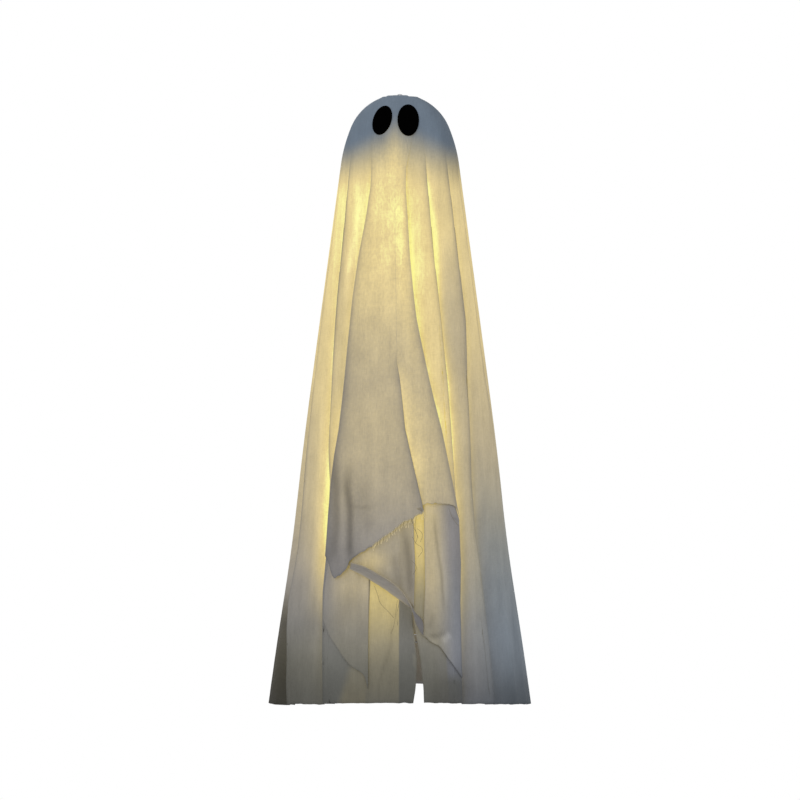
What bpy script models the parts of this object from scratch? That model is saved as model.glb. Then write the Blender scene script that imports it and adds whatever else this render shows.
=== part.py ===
# Light-up hanging ghost: a muslin-draped wire cone under a moulded head, lit from inside.
# Metres, +Z up. The origin is the pivot of the hanging ring, and the ghost faces -Y.
# Angles round the ghost are counted from the front, positive towards +X.

import bpy
import bmesh
from math import acos, asin, ceil, cos, exp, hypot, pi, radians, sin, sqrt
from mathutils import Matrix, Vector

# Outline of the draped cloth, as depths below the crown and radii about the Z axis
GHOST_HEIGHT = 0.9127
CROWN_HEIGHT = 0.0020
HEAD_RADIUS = 0.0795
HEAD_LEAVE_DEPTH = 0.050
SHOULDER_DEPTH = 0.104
SHOULDER_RADIUS = 0.0885
HEM_RADIUS = 0.197
WAIST_DEPTH = 0.680
WAIST_SPREAD = 0.120
WAIST_DRAW = 0.003
HEM_FRONT_RISE = 0.009
HEM_BACK_RISE = 0.021

# Clearances between pieces that touch, and how far a cutter runs past what it cuts
GAP = 0.0003
OVERRUN = 0.002
TURN_CLEARANCE = 0.00035
SHARP_ANGLE = 35

# Cloth
CLOTH_THICKNESS = 0.0008
PLY_GAP = 0.0008
HEAD_EASE = 0.0012
FOLD_STEP = 0.007
FOLD_START_DEPTH = 0.055
FOLD_FULL_DEPTH = 0.300
FLAP_STAND = 0.0065
SLIT_TOP_DEPTH = 0.767
PANEL_HOLE_RADIUS = 0.007

# Crown well, where the fittings sit below the outline
WELL_RADIUS = 0.0195
WELL_RIM_RADIUS = 0.024
WELL_RIM_DEPTH = 0.0022
CLOTH_HOLE_RADIUS = 0.0045

# Crown fittings
RING_WIRE = 0.0024
RING_HALF_WIDTH = 0.0105
RING_REACH = 0.0140
RING_CORNER = 0.0030
POST_RADIUS = 0.0040
POST_TOP = 0.0024
POST_SKIRT = 0.0025
POST_CROWN_SHARES = (0.7, 0.6)
SHANK_RADIUS = 0.0020
SHANK_TAIL = 0.0007
CROWN_PLATE_RADIUS = 0.0125
CROWN_PLATE_THICKNESS = 0.0010
WASHER_RADIUS = 0.0070
WASHER_THICKNESS = 0.0010
NUT_ACROSS_CORNERS = 0.0081
NUT_THICKNESS = 0.0032

# Every screw's head: how wide its flat top is, and where its side begins
SCREW_CROWN_SHARES = (0.6, 0.5)

# Head shell and base
SHELL_THICKNESS = 0.0024
SHELL_LIP = 0.002
BASE_DEPTH = 0.108
BASE_THICKNESS = 0.0025
BASE_RIM_HEIGHT = 0.0095
BASE_FIT = 0.0006
BASE_SCREW_COUNT = 3
BASE_SCREW_RADIUS = 0.0014
BASE_SCREW_HEAD_RADIUS = 0.0028
BASE_SCREW_HEAD = 0.0016
BASE_SCREW_TAIL = 0.0020

# Wire frame
UPRIGHT_COUNT = 4
FIRST_UPRIGHT_ANGLE = 45
WIRE_RADIUS = 0.0015
FRAME_INSET = 0.0165
SOCKET_INSET = 0.010833
SOCKET_RADIUS = 0.0042
SOCKET_LENGTH = 0.010
UPRIGHT_BEND_DROP = 0.030
UPRIGHT_BEND_RISE = 0.006
UPRIGHT_TAIL = 0.004
UPRIGHT_BEND_SHARE = 1 / 3
TOP_HOOP_DROP = 0.034
LOWER_HOOP_DEPTHS = (0.330, 0.570, 0.815)
HOOP_POINTS = 32

# Light string
STRING_RADIUS = 0.0008
BEAD_RADIUS = 0.0024
BEAD_HALF_LENGTH = 0.0024
BEAD_NECK = 0.0016
BEAD_SPACING = 0.105
WINDING_TOP_DROP = 0.050
WINDING_BOTTOM_DEPTH = 0.790
WINDING_TURNS = 6
WINDING_SPREAD_POWER = 1.35
WINDING_START_ANGLE = 90
LOOP_POINTS = 24
CROSSING_ANGLE = 1
LEAD_SAG = 0.004

# Cells and their box, which hangs under the head's base with its open back on the ghost's axis
BOX_BACK = 0
CELL_COUNT = 3
CELL_RADIUS = 0.00725
CELL_LENGTH = 0.0492
CELL_NUB_RADIUS = 0.0026
CELL_NUB = 0.0013
CELL_PITCH = 0.0150
SPRING_LENGTH = 0.0042
SPRING_RADIUS = 0.0035
SPRING_WIRE = 0.0007
SPRING_TURNS = 3
SPRING_TURN_POINTS = 8
SPRING_TAPER_SHARE = 0.35
CONTACT_THICKNESS = 0.0004
CONTACT_HALF_WIDTH = 0.0050
BOX_WALL = 0.0018
BOX_TOP_WALL = 0.0040
CELL_SIDE_ROOM = 0.0006
BAY_HEIGHT = 0.0100
BOX_SCREW_RADIUS = 0.0013
BOX_SCREW_HEAD_RADIUS = 0.0026
BOX_SCREW_HEAD = 0.0014
BOX_SCREW_SPACING = 0.034
LID_THICKNESS = 0.0016
LID_HINGE_DROP = 0.0050
BARREL_RADIUS = 0.0024
PIN_RADIUS = 0.0008
EAR_WIDTH = 0.0032
EAR_RADIUS = 0.0026
LID_SCREW_RADIUS = 0.0012
LID_SCREW_HEAD_RADIUS = 0.0024
LID_SCREW_HEAD = 0.0012
LID_SCREW_LENGTH = 0.0036
LID_SCREW_ROOM = 0.0008
LID_SCREW_RISE = 0.0009
SWITCH_HALF_LENGTH = 0.0062
SWITCH_HALF_DEPTH = 0.0030
SWITCH_HEIGHT = 0.0048
SLIDER_HALF_LENGTH = 0.0020
SLIDER_HALF_DEPTH = 0.0013
SLIDER_FLANGE = 0.0010
SLIDER_FLANGE_THICKNESS = 0.0010
SLIDER_KNOB = 0.0035
SLIDER_TRAVEL = 0.0040
BOARD_THICKNESS = 0.0012
BOARD_WIDTH = 0.0110
BOARD_HEIGHT = 0.0080
BUSHING_RADIUS = 0.0021
BUSHING_FLANGE_RADIUS = 0.0030
BUSHING_FLANGE = 0.0010
BUSHING_BORE = 0.0012

# Felt eyes, as ovals seen from the front
FELT_THICKNESS = 0.0012
EYE_HEIGHT = 0.0412
LEFT_EYE_OUT = 0.0281
LEFT_EYE_HALF_WIDTH = 0.0138
LEFT_EYE_HALF_HEIGHT = 0.0228
LEFT_EYE_LEAN = 18
RIGHT_EYE_OUT = 0.0110
RIGHT_EYE_HALF_WIDTH = 0.0160
RIGHT_EYE_HALF_HEIGHT = 0.0233
RIGHT_EYE_LEAN = -1
EYE_POINTS = 20
EYE_RING_SHARES = (0, 0.4, 0.75, 1)

# Fold lines: shares of the ghost's height, each with its angle from the front in degrees
FAR_LEFT_FOLD_SHARES = ((0.0, -80), (0.30, -78), (0.50, -73), (1.0, -62))
LEFT_FOLD_SHARES = ((0.0, -60), (0.14, -58), (0.50, -50), (1.0, -36))
RIGHT_FOLD_SHARES = ((0.0, 26), (0.12, 27), (0.30, 34), (0.50, 37), (0.75, 34), (1.0, 28))
FAR_RIGHT_FOLD_SHARES = ((0.0, 58), (0.14, 52), (0.34, 55), (0.62, 50), (1.0, 46))
BACK_FOLD_SHARES = (
    ((0.0, 104), (0.5, 98), (1.0, 92)),
    ((0.0, 160), (0.5, 152), (1.0, 148)),
    ((0.0, 212), (0.5, 216), (1.0, 224)),
)
# The slit's edges: their angles at the crown, where they start to gather, at the slit's top and at the hem
SLIT_GATHER_SHARE = 0.95
SLIT_LEFT_ANGLES = (0, 3, 5.6, 5.6)
SLIT_RIGHT_ANGLES = (9, 9, 6.6, 10.4)
PANEL_LEFT_SHARES = ((0.0, -60), (0.05, -34), (0.15, -28), (0.24, -35), (0.42, -40), (0.76, -43))
PANEL_RIGHT_SHARES = ((0.0, 45), (0.05, 22), (0.17, 6), (0.30, 9), (0.50, 24), (0.70, 33))
PANEL_FOLD_SHARES = ((0.0, -5), (0.30, 0), (0.50, 3), (0.70, 11))
PANEL_HEM_SHARES = ((-43, 0.765), (-25, 0.760), (-5, 0.715), (11, 0.683), (12, 0.672), (24, 0.675),
                    (33, 0.698))
LINING_LEFT_SHARES = ((0.0, -50), (0.05, -28), (0.17, -22), (0.50, -34), (0.75, -42), (0.97, -30))
LINING_RIGHT_SHARES = ((0.0, 35), (0.05, 15), (0.17, 2), (0.50, 18), (0.70, 30), (0.90, 28))
LINING_HEM_SHARES = ((-43, 0.84), (-30, 0.93), (-18, 0.968), (-13, 0.80), (2, 0.81), (6, 0.84), (14, 0.895),
                     (30, 0.88))
CLOTH_ROW_SHARES = (0.186, 0.34, 0.60)
PANEL_ROW_SHARES = (0.186, 0.255, 0.33, 0.415, 0.50, 0.59, 1.0)
LINING_ROW_SHARES = (0.186, 0.255, 0.33, 0.415, 0.50, 0.59, 0.68, 1.0)
FOLD_RAMP_ANGLE = 11
EDGE_ANGLE = 0.7
WIDEST_COLUMN = 11
COLUMN_WIDTH_SHARES = (0.1, 0.5, 1.0)
# How far each panel's edges and fold stand off the ply below, as shares of the flap's stand
LINING_STAND_SHARE = 0.35
PANEL_LEFT_STAND_SHARE = 0.8
PANEL_FOLD_STAND_SHARE = 1
PANEL_RIGHT_STAND_SHARE = 0.6


def z_at(depth):
    return CROWN_HEIGHT - depth


def along(line, share):
    """The angle of a fold line, or any value, at a share, read between its points."""
    if share <= line[0][0]:
        return line[0][1]
    for (s0, a0), (s1, a1) in zip(line, line[1:]):
        if share <= s1:
            return a0 + (a1 - a0) * (share - s0) / (s1 - s0)
    return line[-1][1]


def smooth(low, high, value):
    t = min(max((value - low) / (high - low), 0), 1)
    return t * t * (3 - 2 * t)


def cone_radius(depth):
    slope = (HEM_RADIUS - SHOULDER_RADIUS) / (GHOST_HEIGHT - SHOULDER_DEPTH)
    return SHOULDER_RADIUS + slope * (depth - SHOULDER_DEPTH)


def outline_radius(depth):
    """Outside of the cloth: a ball, a shoulder that eases off it, and a cone with a slight waist."""
    below_centre = HEAD_RADIUS - depth
    if depth <= HEAD_LEAVE_DEPTH:
        return sqrt(HEAD_RADIUS ** 2 - below_centre ** 2)
    if depth < SHOULDER_DEPTH:
        span = SHOULDER_DEPTH - HEAD_LEAVE_DEPTH
        t = (depth - HEAD_LEAVE_DEPTH) / span
        start = sqrt(HEAD_RADIUS ** 2 - (HEAD_RADIUS - HEAD_LEAVE_DEPTH) ** 2)
        start_slope = (HEAD_RADIUS - HEAD_LEAVE_DEPTH) / start
        end_slope = (HEM_RADIUS - SHOULDER_RADIUS) / (GHOST_HEIGHT - SHOULDER_DEPTH)
        return ((2 * t ** 3 - 3 * t ** 2 + 1) * start + (t ** 3 - 2 * t ** 2 + t) * span * start_slope
                + (3 * t ** 2 - 2 * t ** 3) * SHOULDER_RADIUS + (t ** 3 - t ** 2) * span * end_slope)
    return cone_radius(depth) - WAIST_DRAW * exp(-((depth - WAIST_DEPTH) / WAIST_SPREAD) ** 2)


def hem_depth(angle):
    front = max(cos(radians(angle)), 0) ** 2
    back = max(-cos(radians(angle)), 0) ** 2
    return GHOST_HEIGHT - HEM_FRONT_RISE * front - HEM_BACK_RISE * back


def around(radius, angle, z):
    return Vector((radius * sin(radians(angle)), -radius * cos(radians(angle)), z))


# The stack of plies and fittings at the bottom of the crown well, from the ring down
plate_top = -(POST_SKIRT + GAP)
plate_bottom = plate_top - CROWN_PLATE_THICKNESS
ply_step = CLOTH_THICKNESS + PLY_GAP
cloth_floor = plate_bottom - GAP - 2 * ply_step
shell_floor = cloth_floor - CLOTH_THICKNESS - HEAD_EASE
washer_top = shell_floor - SHELL_THICKNESS - GAP
nut_top = washer_top - WASHER_THICKNESS - GAP
shell_radius = HEAD_RADIUS - CLOTH_THICKNESS - HEAD_EASE
head_centre = z_at(HEAD_RADIUS)

# What hangs below the head's base keeps its distance from it
shell_depth = BASE_DEPTH + SHELL_LIP
base_radius = shell_radius - SHELL_THICKNESS - BASE_FIT
socket_ring_radius = sqrt(base_radius ** 2 - (BASE_DEPTH - HEAD_RADIUS) ** 2) - SOCKET_INSET
bend_depth = BASE_DEPTH + UPRIGHT_BEND_DROP
hoop_depths = (BASE_DEPTH + TOP_HOOP_DROP, *LOWER_HOOP_DEPTHS)
winding_top_depth = BASE_DEPTH + WINDING_TOP_DROP

# The slit's two edges run together above its top and part below it
slit_top_share = SLIT_TOP_DEPTH / GHOST_HEIGHT
slit_stop_shares = (0.0, slit_top_share * SLIT_GATHER_SHARE, slit_top_share, 1.0)
slit_left_line = tuple(zip(slit_stop_shares, SLIT_LEFT_ANGLES))
slit_right_line = tuple(zip(slit_stop_shares, SLIT_RIGHT_ANGLES))


def material(name, colour, roughness, metallic=0.0):
    made = bpy.data.materials.new(name)
    made.use_nodes = True
    shader = made.node_tree.nodes["Principled BSDF"]
    shader.inputs["Base Color"].default_value = (*colour, 1.0)
    shader.inputs["Roughness"].default_value = roughness
    shader.inputs["Metallic"].default_value = metallic
    made.diffuse_color = (*colour, 1.0)
    return made


def solid(name, mesh, finish, origin=(0, 0, 0), flat=False):
    """Put a closed mesh, written in world coordinates, into the scene with its origin at a place."""
    work = bmesh.new()
    work.from_mesh(mesh)
    bmesh.ops.recalc_face_normals(work, faces=work.faces)
    work.to_mesh(mesh)
    work.free()
    mesh.transform(Matrix.Translation(-Vector(origin)))
    mesh.materials.append(finish)
    if not flat:
        mesh.shade_smooth()
        mesh.set_sharp_from_angle(angle=radians(SHARP_ANGLE))
    made = bpy.data.objects.new(name, mesh)
    made.location = origin
    bpy.context.collection.objects.link(made)
    return made


def turned(profile, segments, place=None):
    """Spin a closed outline of (radius, height) points about Z."""
    work = bmesh.new()
    rings = []
    for radius, height in profile:
        if radius == 0:
            rings.append([work.verts.new((0, 0, height))])
        else:
            turns = [2 * pi * i / segments for i in range(segments)]
            rings.append([work.verts.new((radius * cos(t), radius * sin(t), height)) for t in turns])
    for ring, after in zip(rings, rings[1:] + rings[:1]):
        for i in range(segments):
            j = (i + 1) % segments
            corners = [ring[i % len(ring)], ring[j % len(ring)], after[j % len(after)], after[i % len(after)]]
            distinct = list(dict.fromkeys(corners))
            if len(distinct) > 2:
                work.faces.new(distinct)
    mesh = bpy.data.meshes.new("turned")
    work.to_mesh(mesh)
    work.free()
    if place is not None:
        mesh.transform(place)
    return mesh


def disc_outline(radius, low, high):
    return [(0, high), (radius, high), (radius, low), (0, low)]


def block(low, high):
    work = bmesh.new()
    bmesh.ops.create_cube(work, size=1)
    centre = (Vector(low) + Vector(high)) / 2
    size = Vector(high) - Vector(low)
    place = Matrix.Translation(centre) @ Matrix.Diagonal((*size, 1))
    bmesh.ops.transform(work, matrix=place, verts=work.verts)
    mesh = bpy.data.meshes.new("block")
    work.to_mesh(mesh)
    work.free()
    return mesh


def joined(target, mesh, operation):
    """Cut a mesh out of an object, or fuse it on, with a Boolean whose other half is a guide."""
    guide = solid(target.name + "_guide", mesh, target.data.materials[0])
    guide.hide_render = True
    guide.display_type = 'WIRE'
    step = target.modifiers.new(operation.title(), 'BOOLEAN')
    step.object = guide
    step.operation = operation
    step.solver = 'EXACT'


def along_axis(start, direction):
    """A placement that lays a turned piece's Z along a direction, from a start point."""
    turn = Vector((0, 0, 1)).rotation_difference(Vector(direction))
    return Matrix.Translation(start) @ turn.to_matrix().to_4x4()


def wire(name, points, radius, finish, closed=False, sides_step=1, swell=None):
    """A round wire through points, with filled ends."""
    curve = bpy.data.curves.new(name, 'CURVE')
    curve.dimensions = '3D'
    curve.bevel_depth = radius
    curve.bevel_resolution = sides_step
    curve.use_fill_caps = not closed
    spline = curve.splines.new('POLY')
    spline.points.add(len(points) - 1)
    for i, point in enumerate(points):
        spline.points[i].co = (*point, 1)
        spline.points[i].radius = swell[i] if swell else 1
    spline.use_cyclic_u = closed
    spline.use_smooth = True
    curve.materials.append(finish)
    made = bpy.data.objects.new(name, curve)
    bpy.context.collection.objects.link(made)
    return made


# Cloth profile: from the hole in the crown out over the well's rim, down the ball and to the hem


def head_row_depths():
    """Depths of the rows on the ball, at even steps of its arc from the well's rim."""
    first = asin((WELL_RIM_RADIUS + ply_step * 2) / HEAD_RADIUS)
    last = acos(1 - HEAD_LEAVE_DEPTH / HEAD_RADIUS)
    steps = 4
    return [HEAD_RADIUS * (1 - cos(first + (last - first) * i / steps)) for i in range(steps + 1)]


def profile_rows(first_radius, lower_depths):
    """Rows of a ply's outside: (radius, height, depth below the crown), without its folds."""
    floor = [(first_radius, cloth_floor, 0), (WELL_RADIUS, cloth_floor, 0)]
    rim = [(WELL_RIM_RADIUS, z_at(WELL_RIM_DEPTH), 0)]
    middle = (HEAD_LEAVE_DEPTH + SHOULDER_DEPTH) / 2
    depths = head_row_depths() + [middle, SHOULDER_DEPTH] + list(lower_depths)
    return floor + rim + [(outline_radius(d), z_at(d), d) for d in depths]


def row_normals(rows):
    """Outward directions of the rows in the (radius, height) plane."""
    normals = []
    for i in range(len(rows)):
        before = rows[max(i - 1, 0)]
        after = rows[min(i + 1, len(rows) - 1)]
        run = after[0] - before[0]
        drop = after[1] - before[1]
        size = hypot(run, drop)
        normals.append((-drop / size, run / size))
    return normals


def cloth_sheet(name, finish, rows, columns, lift, hem, closed=False, slit=None):
    """A thin closed sheet. columns hold (angle line, recess share, stand share); lift is its ply's offset."""
    work = bmesh.new()
    normals = row_normals(rows)
    grid = []
    for index, ((radius, height, depth), (out_r, out_z)) in enumerate(zip(rows, normals)):
        fade = smooth(FOLD_START_DEPTH, FOLD_FULL_DEPTH, depth)
        line = []
        for angle_line, recess_share, stand_share in columns:
            angle = along(angle_line, depth / GHOST_HEIGHT)
            row_radius = radius
            row_height = height
            if index == len(rows) - 1:
                end = hem(angle)
                angle = along(angle_line, end / GHOST_HEIGHT)
                row_radius = outline_radius(end)
                row_height = z_at(end)
            shift = lift + fade * (FLAP_STAND * stand_share - FOLD_STEP * recess_share)
            line.append(work.verts.new(around(row_radius + out_r * shift, angle, row_height + out_z * shift)))
        grid.append(line)
    count = len(columns)
    for index, (line, below) in enumerate(zip(grid, grid[1:])):
        for i in range(count if closed else count - 1):
            if slit == i and rows[index][2] >= SLIT_TOP_DEPTH:
                continue
            j = (i + 1) % count
            work.faces.new((line[i], below[i], below[j], line[j]))
    mesh = bpy.data.meshes.new(name)
    work.to_mesh(mesh)
    work.free()
    mesh.materials.append(finish)
    mesh.shade_smooth()
    made = bpy.data.objects.new(name, mesh)
    bpy.context.collection.objects.link(made)
    thicken = made.modifiers.new("Thickness", 'SOLIDIFY')
    thicken.thickness = CLOTH_THICKNESS
    thicken.offset = -1
    return made


def shifted(line, degrees_on):
    return tuple((share, angle + degrees_on) for share, angle in line)


def between(left, right, share):
    """A column line that runs a share of the way from one line to another."""
    stops = sorted({s for s, _ in left} | {s for s, _ in right})
    return tuple((s, along(left, s) * (1 - share) + along(right, s) * share) for s in stops)


def knife_fold(line, high_side):
    """Three columns of one fold: its edge, the foot of its step and the end of the ramp behind it."""
    edge = (shifted(line, EDGE_ANGLE * high_side), 0, 0)
    foot = (shifted(line, -EDGE_ANGLE * high_side), 1, 0)
    ramp = (shifted(line, -FOLD_RAMP_ANGLE * high_side), 0, 0)
    return [ramp, foot, edge] if high_side > 0 else [edge, foot, ramp]


def filled(columns, closed):
    """Add plain columns where two neighbours lie too far apart."""
    result = []
    count = len(columns)
    for i, column in enumerate(columns):
        result.append(column)
        if i == count - 1 and not closed:
            break
        after = columns[(i + 1) % count]
        after_line = shifted(after[0], 360 if i == count - 1 else 0)
        widest = max(along(after_line, s) - along(column[0], s) for s in COLUMN_WIDTH_SHARES)
        extra = ceil(widest / WIDEST_COLUMN) - 1
        for k in range(1, extra + 1):
            share = k / (extra + 1)
            recess = column[1] * (1 - share) + after[1] * share
            stand = column[2] * (1 - share) + after[2] * share
            result.append((between(column[0], after_line, share), recess, stand))
    return result


def main_cloth(finish):
    """The ply next to the frame, which goes all the way round and is slit up from the hem in front."""
    folds = knife_fold(FAR_LEFT_FOLD_SHARES, 1) + knife_fold(LEFT_FOLD_SHARES, 1)
    folds += [(slit_left_line, 0, 0), (slit_right_line, 0, 0)]
    folds += knife_fold(RIGHT_FOLD_SHARES, -1) + knife_fold(FAR_RIGHT_FOLD_SHARES, -1)
    for number, line in enumerate(BACK_FOLD_SHARES):
        folds += knife_fold(line, 1 if number % 2 else -1)
    columns = filled(folds, True)
    slit = next(i for i, column in enumerate(columns) if column[0] is slit_left_line)
    cone_rows = [GHOST_HEIGHT * share for share in CLOTH_ROW_SHARES]
    rows = profile_rows(CLOTH_HOLE_RADIUS, cone_rows + [SLIT_TOP_DEPTH, GHOST_HEIGHT])
    return cloth_sheet("main_cloth", finish, rows, columns, 0, hem_depth, closed=True, slit=slit)


def front_panel_hem(angle):
    return GHOST_HEIGHT * along(PANEL_HEM_SHARES, angle)


def front_panel(finish):
    """The outer ply on the front, in two flaps that meet at a fold with its step to the right."""
    fold_foot = shifted(PANEL_FOLD_SHARES, 2 * EDGE_ANGLE)
    columns = filled([(PANEL_LEFT_SHARES, 0, PANEL_LEFT_STAND_SHARE),
                      (PANEL_FOLD_SHARES, 0, PANEL_FOLD_STAND_SHARE),
                      (fold_foot, 0, PANEL_RIGHT_STAND_SHARE),
                      (PANEL_RIGHT_SHARES, 0, PANEL_RIGHT_STAND_SHARE)], False)
    rows = profile_rows(PANEL_HOLE_RADIUS, [GHOST_HEIGHT * share for share in PANEL_ROW_SHARES])
    return cloth_sheet("front_panel", finish, rows, columns, 2 * ply_step, front_panel_hem)


def lining_panel_hem(angle):
    return GHOST_HEIGHT * along(LINING_HEM_SHARES, angle)


def lining_panel(finish):
    """The ply under the front panel, whose two tails hang on below it."""
    columns = filled([(LINING_LEFT_SHARES, 0, LINING_STAND_SHARE),
                      (LINING_RIGHT_SHARES, 0, LINING_STAND_SHARE)], False)
    rows = profile_rows(PANEL_HOLE_RADIUS, [GHOST_HEIGHT * share for share in LINING_ROW_SHARES])
    return cloth_sheet("lining_panel", finish, rows, columns, ply_step, lining_panel_hem)


def flat_ring(name, bore, radius, low, high, segments, finish):
    return solid(name, turned([(bore, high), (radius, high), (radius, low), (bore, low)], segments), finish)


# Crown fittings


def hanging_ring(finish):
    """A D-shaped wire ring: its straight bar runs through the post, and its bow lies back on the plate."""
    lean = asin((-plate_top - GAP - RING_WIRE / 2) / RING_REACH)
    side = RING_HALF_WIDTH - RING_CORNER
    path = [(0, 0), (side, 0)]
    path += [(side + RING_CORNER * sin(t), RING_CORNER * (1 - cos(t))) for t in (pi / 6, pi / 3, pi / 2)]
    bow = RING_REACH - RING_CORNER
    steps = 12
    path += [(RING_HALF_WIDTH * cos(pi * i / steps), RING_CORNER + bow * sin(pi * i / steps))
             for i in range(1, steps)]
    path += [(-x, y) for x, y in reversed(path[1:5])]
    points = [(x, y * cos(lean), -y * sin(lean)) for x, y in path]
    return wire("hanging_ring", points, RING_WIRE / 2, finish, closed=True, sides_step=2)


def swivel_eye(finish):
    """The post that the ring hangs in, with a shank down through plate, cloth and shell."""
    tail = nut_top - NUT_THICKNESS - SHANK_TAIL
    flat_share, side_share = POST_CROWN_SHARES
    outline = [(0, POST_TOP), (POST_RADIUS * flat_share, POST_TOP), (POST_RADIUS, POST_TOP * side_share),
               (POST_RADIUS, -POST_SKIRT), (SHANK_RADIUS, -POST_SKIRT), (SHANK_RADIUS, tail), (0, tail)]
    post = solid("swivel_eye", turned(outline, 24), finish)
    bore = RING_WIRE / 2 + TURN_CLEARANCE
    reach = POST_RADIUS + OVERRUN
    across = along_axis((-reach, 0, 0), (1, 0, 0))
    joined(post, turned(disc_outline(bore, 0, 2 * reach), 16, across), 'DIFFERENCE')
    return post


def crown_fittings(steel):
    hole = SHANK_RADIUS + TURN_CLEARANCE
    swivel_eye(steel)
    hanging_ring(steel)
    flat_ring("crown_plate", hole, CROWN_PLATE_RADIUS, plate_bottom, plate_top, 24, steel)
    flat_ring("crown_washer", hole, WASHER_RADIUS, washer_top - WASHER_THICKNESS, washer_top, 18, steel)
    nut = solid("lock_nut", turned(disc_outline(NUT_ACROSS_CORNERS / 2, nut_top - NUT_THICKNESS, nut_top), 6),
                steel, flat=True)
    low = nut_top - NUT_THICKNESS - OVERRUN
    joined(nut, turned(disc_outline(SHANK_RADIUS + GAP, low, nut_top + OVERRUN), 16), 'DIFFERENCE')


# Head


def ball_arc(radius, first_depth, last_depth, steps):
    """Points on a ball about the head's centre, between two depths below the crown."""
    first = acos((HEAD_RADIUS - first_depth) / radius)
    last = acos((HEAD_RADIUS - last_depth) / radius)
    angles = [first + (last - first) * i / steps for i in range(steps + 1)]
    return [(radius * sin(a), head_centre + radius * cos(a)) for a in angles]


def screw_angles():
    return [360 * i / BASE_SCREW_COUNT for i in range(BASE_SCREW_COUNT)]


def ball_radius_at(radius, depth):
    """How far out a ball about the head's centre reaches at a depth below the crown."""
    return sqrt(radius ** 2 - (depth - HEAD_RADIUS) ** 2)


def base_screw_depth():
    return BASE_DEPTH - BASE_THICKNESS - BASE_RIM_HEIGHT / 2 + BASE_SCREW_RADIUS / 2


def head_shell(finish):
    """A moulded ball, open below, with a flat-bottomed well at the crown for the fittings."""
    drop = CLOTH_THICKNESS + HEAD_EASE
    inner = shell_radius - SHELL_THICKNESS
    rim_depth = HEAD_RADIUS - sqrt(shell_radius ** 2 - (WELL_RIM_RADIUS + drop) ** 2)
    inner_rim_depth = HEAD_RADIUS - sqrt(inner ** 2 - (WELL_RIM_RADIUS + drop + SHELL_THICKNESS) ** 2)
    outside = ball_arc(shell_radius, rim_depth, shell_depth, 10)
    inside = ball_arc(inner, inner_rim_depth, shell_depth, 10)
    hole = SHANK_RADIUS + TURN_CLEARANCE
    outline = [(hole, shell_floor), (WELL_RADIUS + drop, shell_floor)]
    outline += outside + inside[::-1]
    outline += [(WELL_RADIUS + drop + SHELL_THICKNESS, shell_floor - SHELL_THICKNESS),
                (hole, shell_floor - SHELL_THICKNESS)]
    shell = solid("head_shell", turned(outline, 36), finish)
    for angle in screw_angles():
        out = around(1, angle, 0)
        wall = ball_radius_at(inner, base_screw_depth())
        start = around(wall - SOCKET_LENGTH, angle, z_at(base_screw_depth()))
        drill = disc_outline(BASE_SCREW_RADIUS + GAP, 0, 2 * SOCKET_LENGTH)
        joined(shell, turned(drill, 12, along_axis(start, out)), 'DIFFERENCE')
    return shell


def upright_angles():
    return [FIRST_UPRIGHT_ANGLE + 360 * i / UPRIGHT_COUNT for i in range(UPRIGHT_COUNT)]


def head_base(finish):
    """A shallow cup that closes the ball, with a socket under it for the top of each upright."""
    outer = base_radius
    rim_top = BASE_DEPTH - BASE_THICKNESS - BASE_RIM_HEIGHT
    floor = z_at(BASE_DEPTH)
    wall = ball_arc(outer, rim_top, BASE_DEPTH, 2)
    inner_wall = ball_arc(outer - SHELL_THICKNESS, rim_top, BASE_DEPTH - BASE_THICKNESS, 2)
    outline = [(0, floor + BASE_THICKNESS)] + inner_wall[::-1] + wall + [(0, floor)]
    base = solid("head_base", turned(outline, 36), finish)
    for angle in upright_angles():
        place = Matrix.Translation(around(socket_ring_radius, angle, 0))
        sleeve = disc_outline(SOCKET_RADIUS, floor - SOCKET_LENGTH, floor + BASE_THICKNESS / 2)
        joined(base, turned(sleeve, 12, place), 'UNION')
        bore = disc_outline(WIRE_RADIUS + GAP, floor - SOCKET_LENGTH - OVERRUN, floor - GAP)
        joined(base, turned(bore, 8, place), 'DIFFERENCE')
    for angle in screw_angles():
        wall_radius = ball_radius_at(outer, base_screw_depth())
        start = around(wall_radius - SOCKET_LENGTH, angle, z_at(base_screw_depth()))
        drill = disc_outline(BASE_SCREW_RADIUS + GAP, 0, 2 * SOCKET_LENGTH)
        joined(base, turned(drill, 12, along_axis(start, around(1, angle, 0))), 'DIFFERENCE')
    for side in (-1, 1):
        place = Matrix.Translation((side * BOX_SCREW_SPACING / 2, box_middle(), 0))
        drill = disc_outline(BOX_SCREW_RADIUS + GAP, floor - OVERRUN, floor + BASE_THICKNESS + OVERRUN)
        joined(base, turned(drill, 12, place), 'DIFFERENCE')
    return base


def screw_mesh(radius, head_radius, head, length, place):
    """A round-headed screw with its head's underside at the placement and its shank down its +Z."""
    flat_share, side_share = SCREW_CROWN_SHARES
    outline = [(0, -head), (head_radius * flat_share, -head), (head_radius, -head * side_share),
               (head_radius, 0), (radius, 0), (radius, length), (0, length)]
    return turned(outline, 10, place)


def base_screws(steel):
    outer = shell_radius + GAP
    reach = SHELL_THICKNESS * 2 + BASE_SCREW_TAIL
    height = z_at(base_screw_depth())
    slope_radius = ball_radius_at(shell_radius, base_screw_depth())
    seat = slope_radius + GAP + BASE_SCREW_HEAD_RADIUS * (head_centre - height) / outer
    for number, angle in enumerate(screw_angles(), start=1):
        place = along_axis(around(seat, angle, height), around(-1, angle, 0))
        screw = screw_mesh(BASE_SCREW_RADIUS, BASE_SCREW_HEAD_RADIUS, BASE_SCREW_HEAD, reach, place)
        solid(f"base_screw_{number}", screw, steel)


# Wire frame


def frame_radius(depth):
    """Centre line of the uprights, which run straight along the cloth's cone."""
    return cone_radius(depth) - FRAME_INSET


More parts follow.
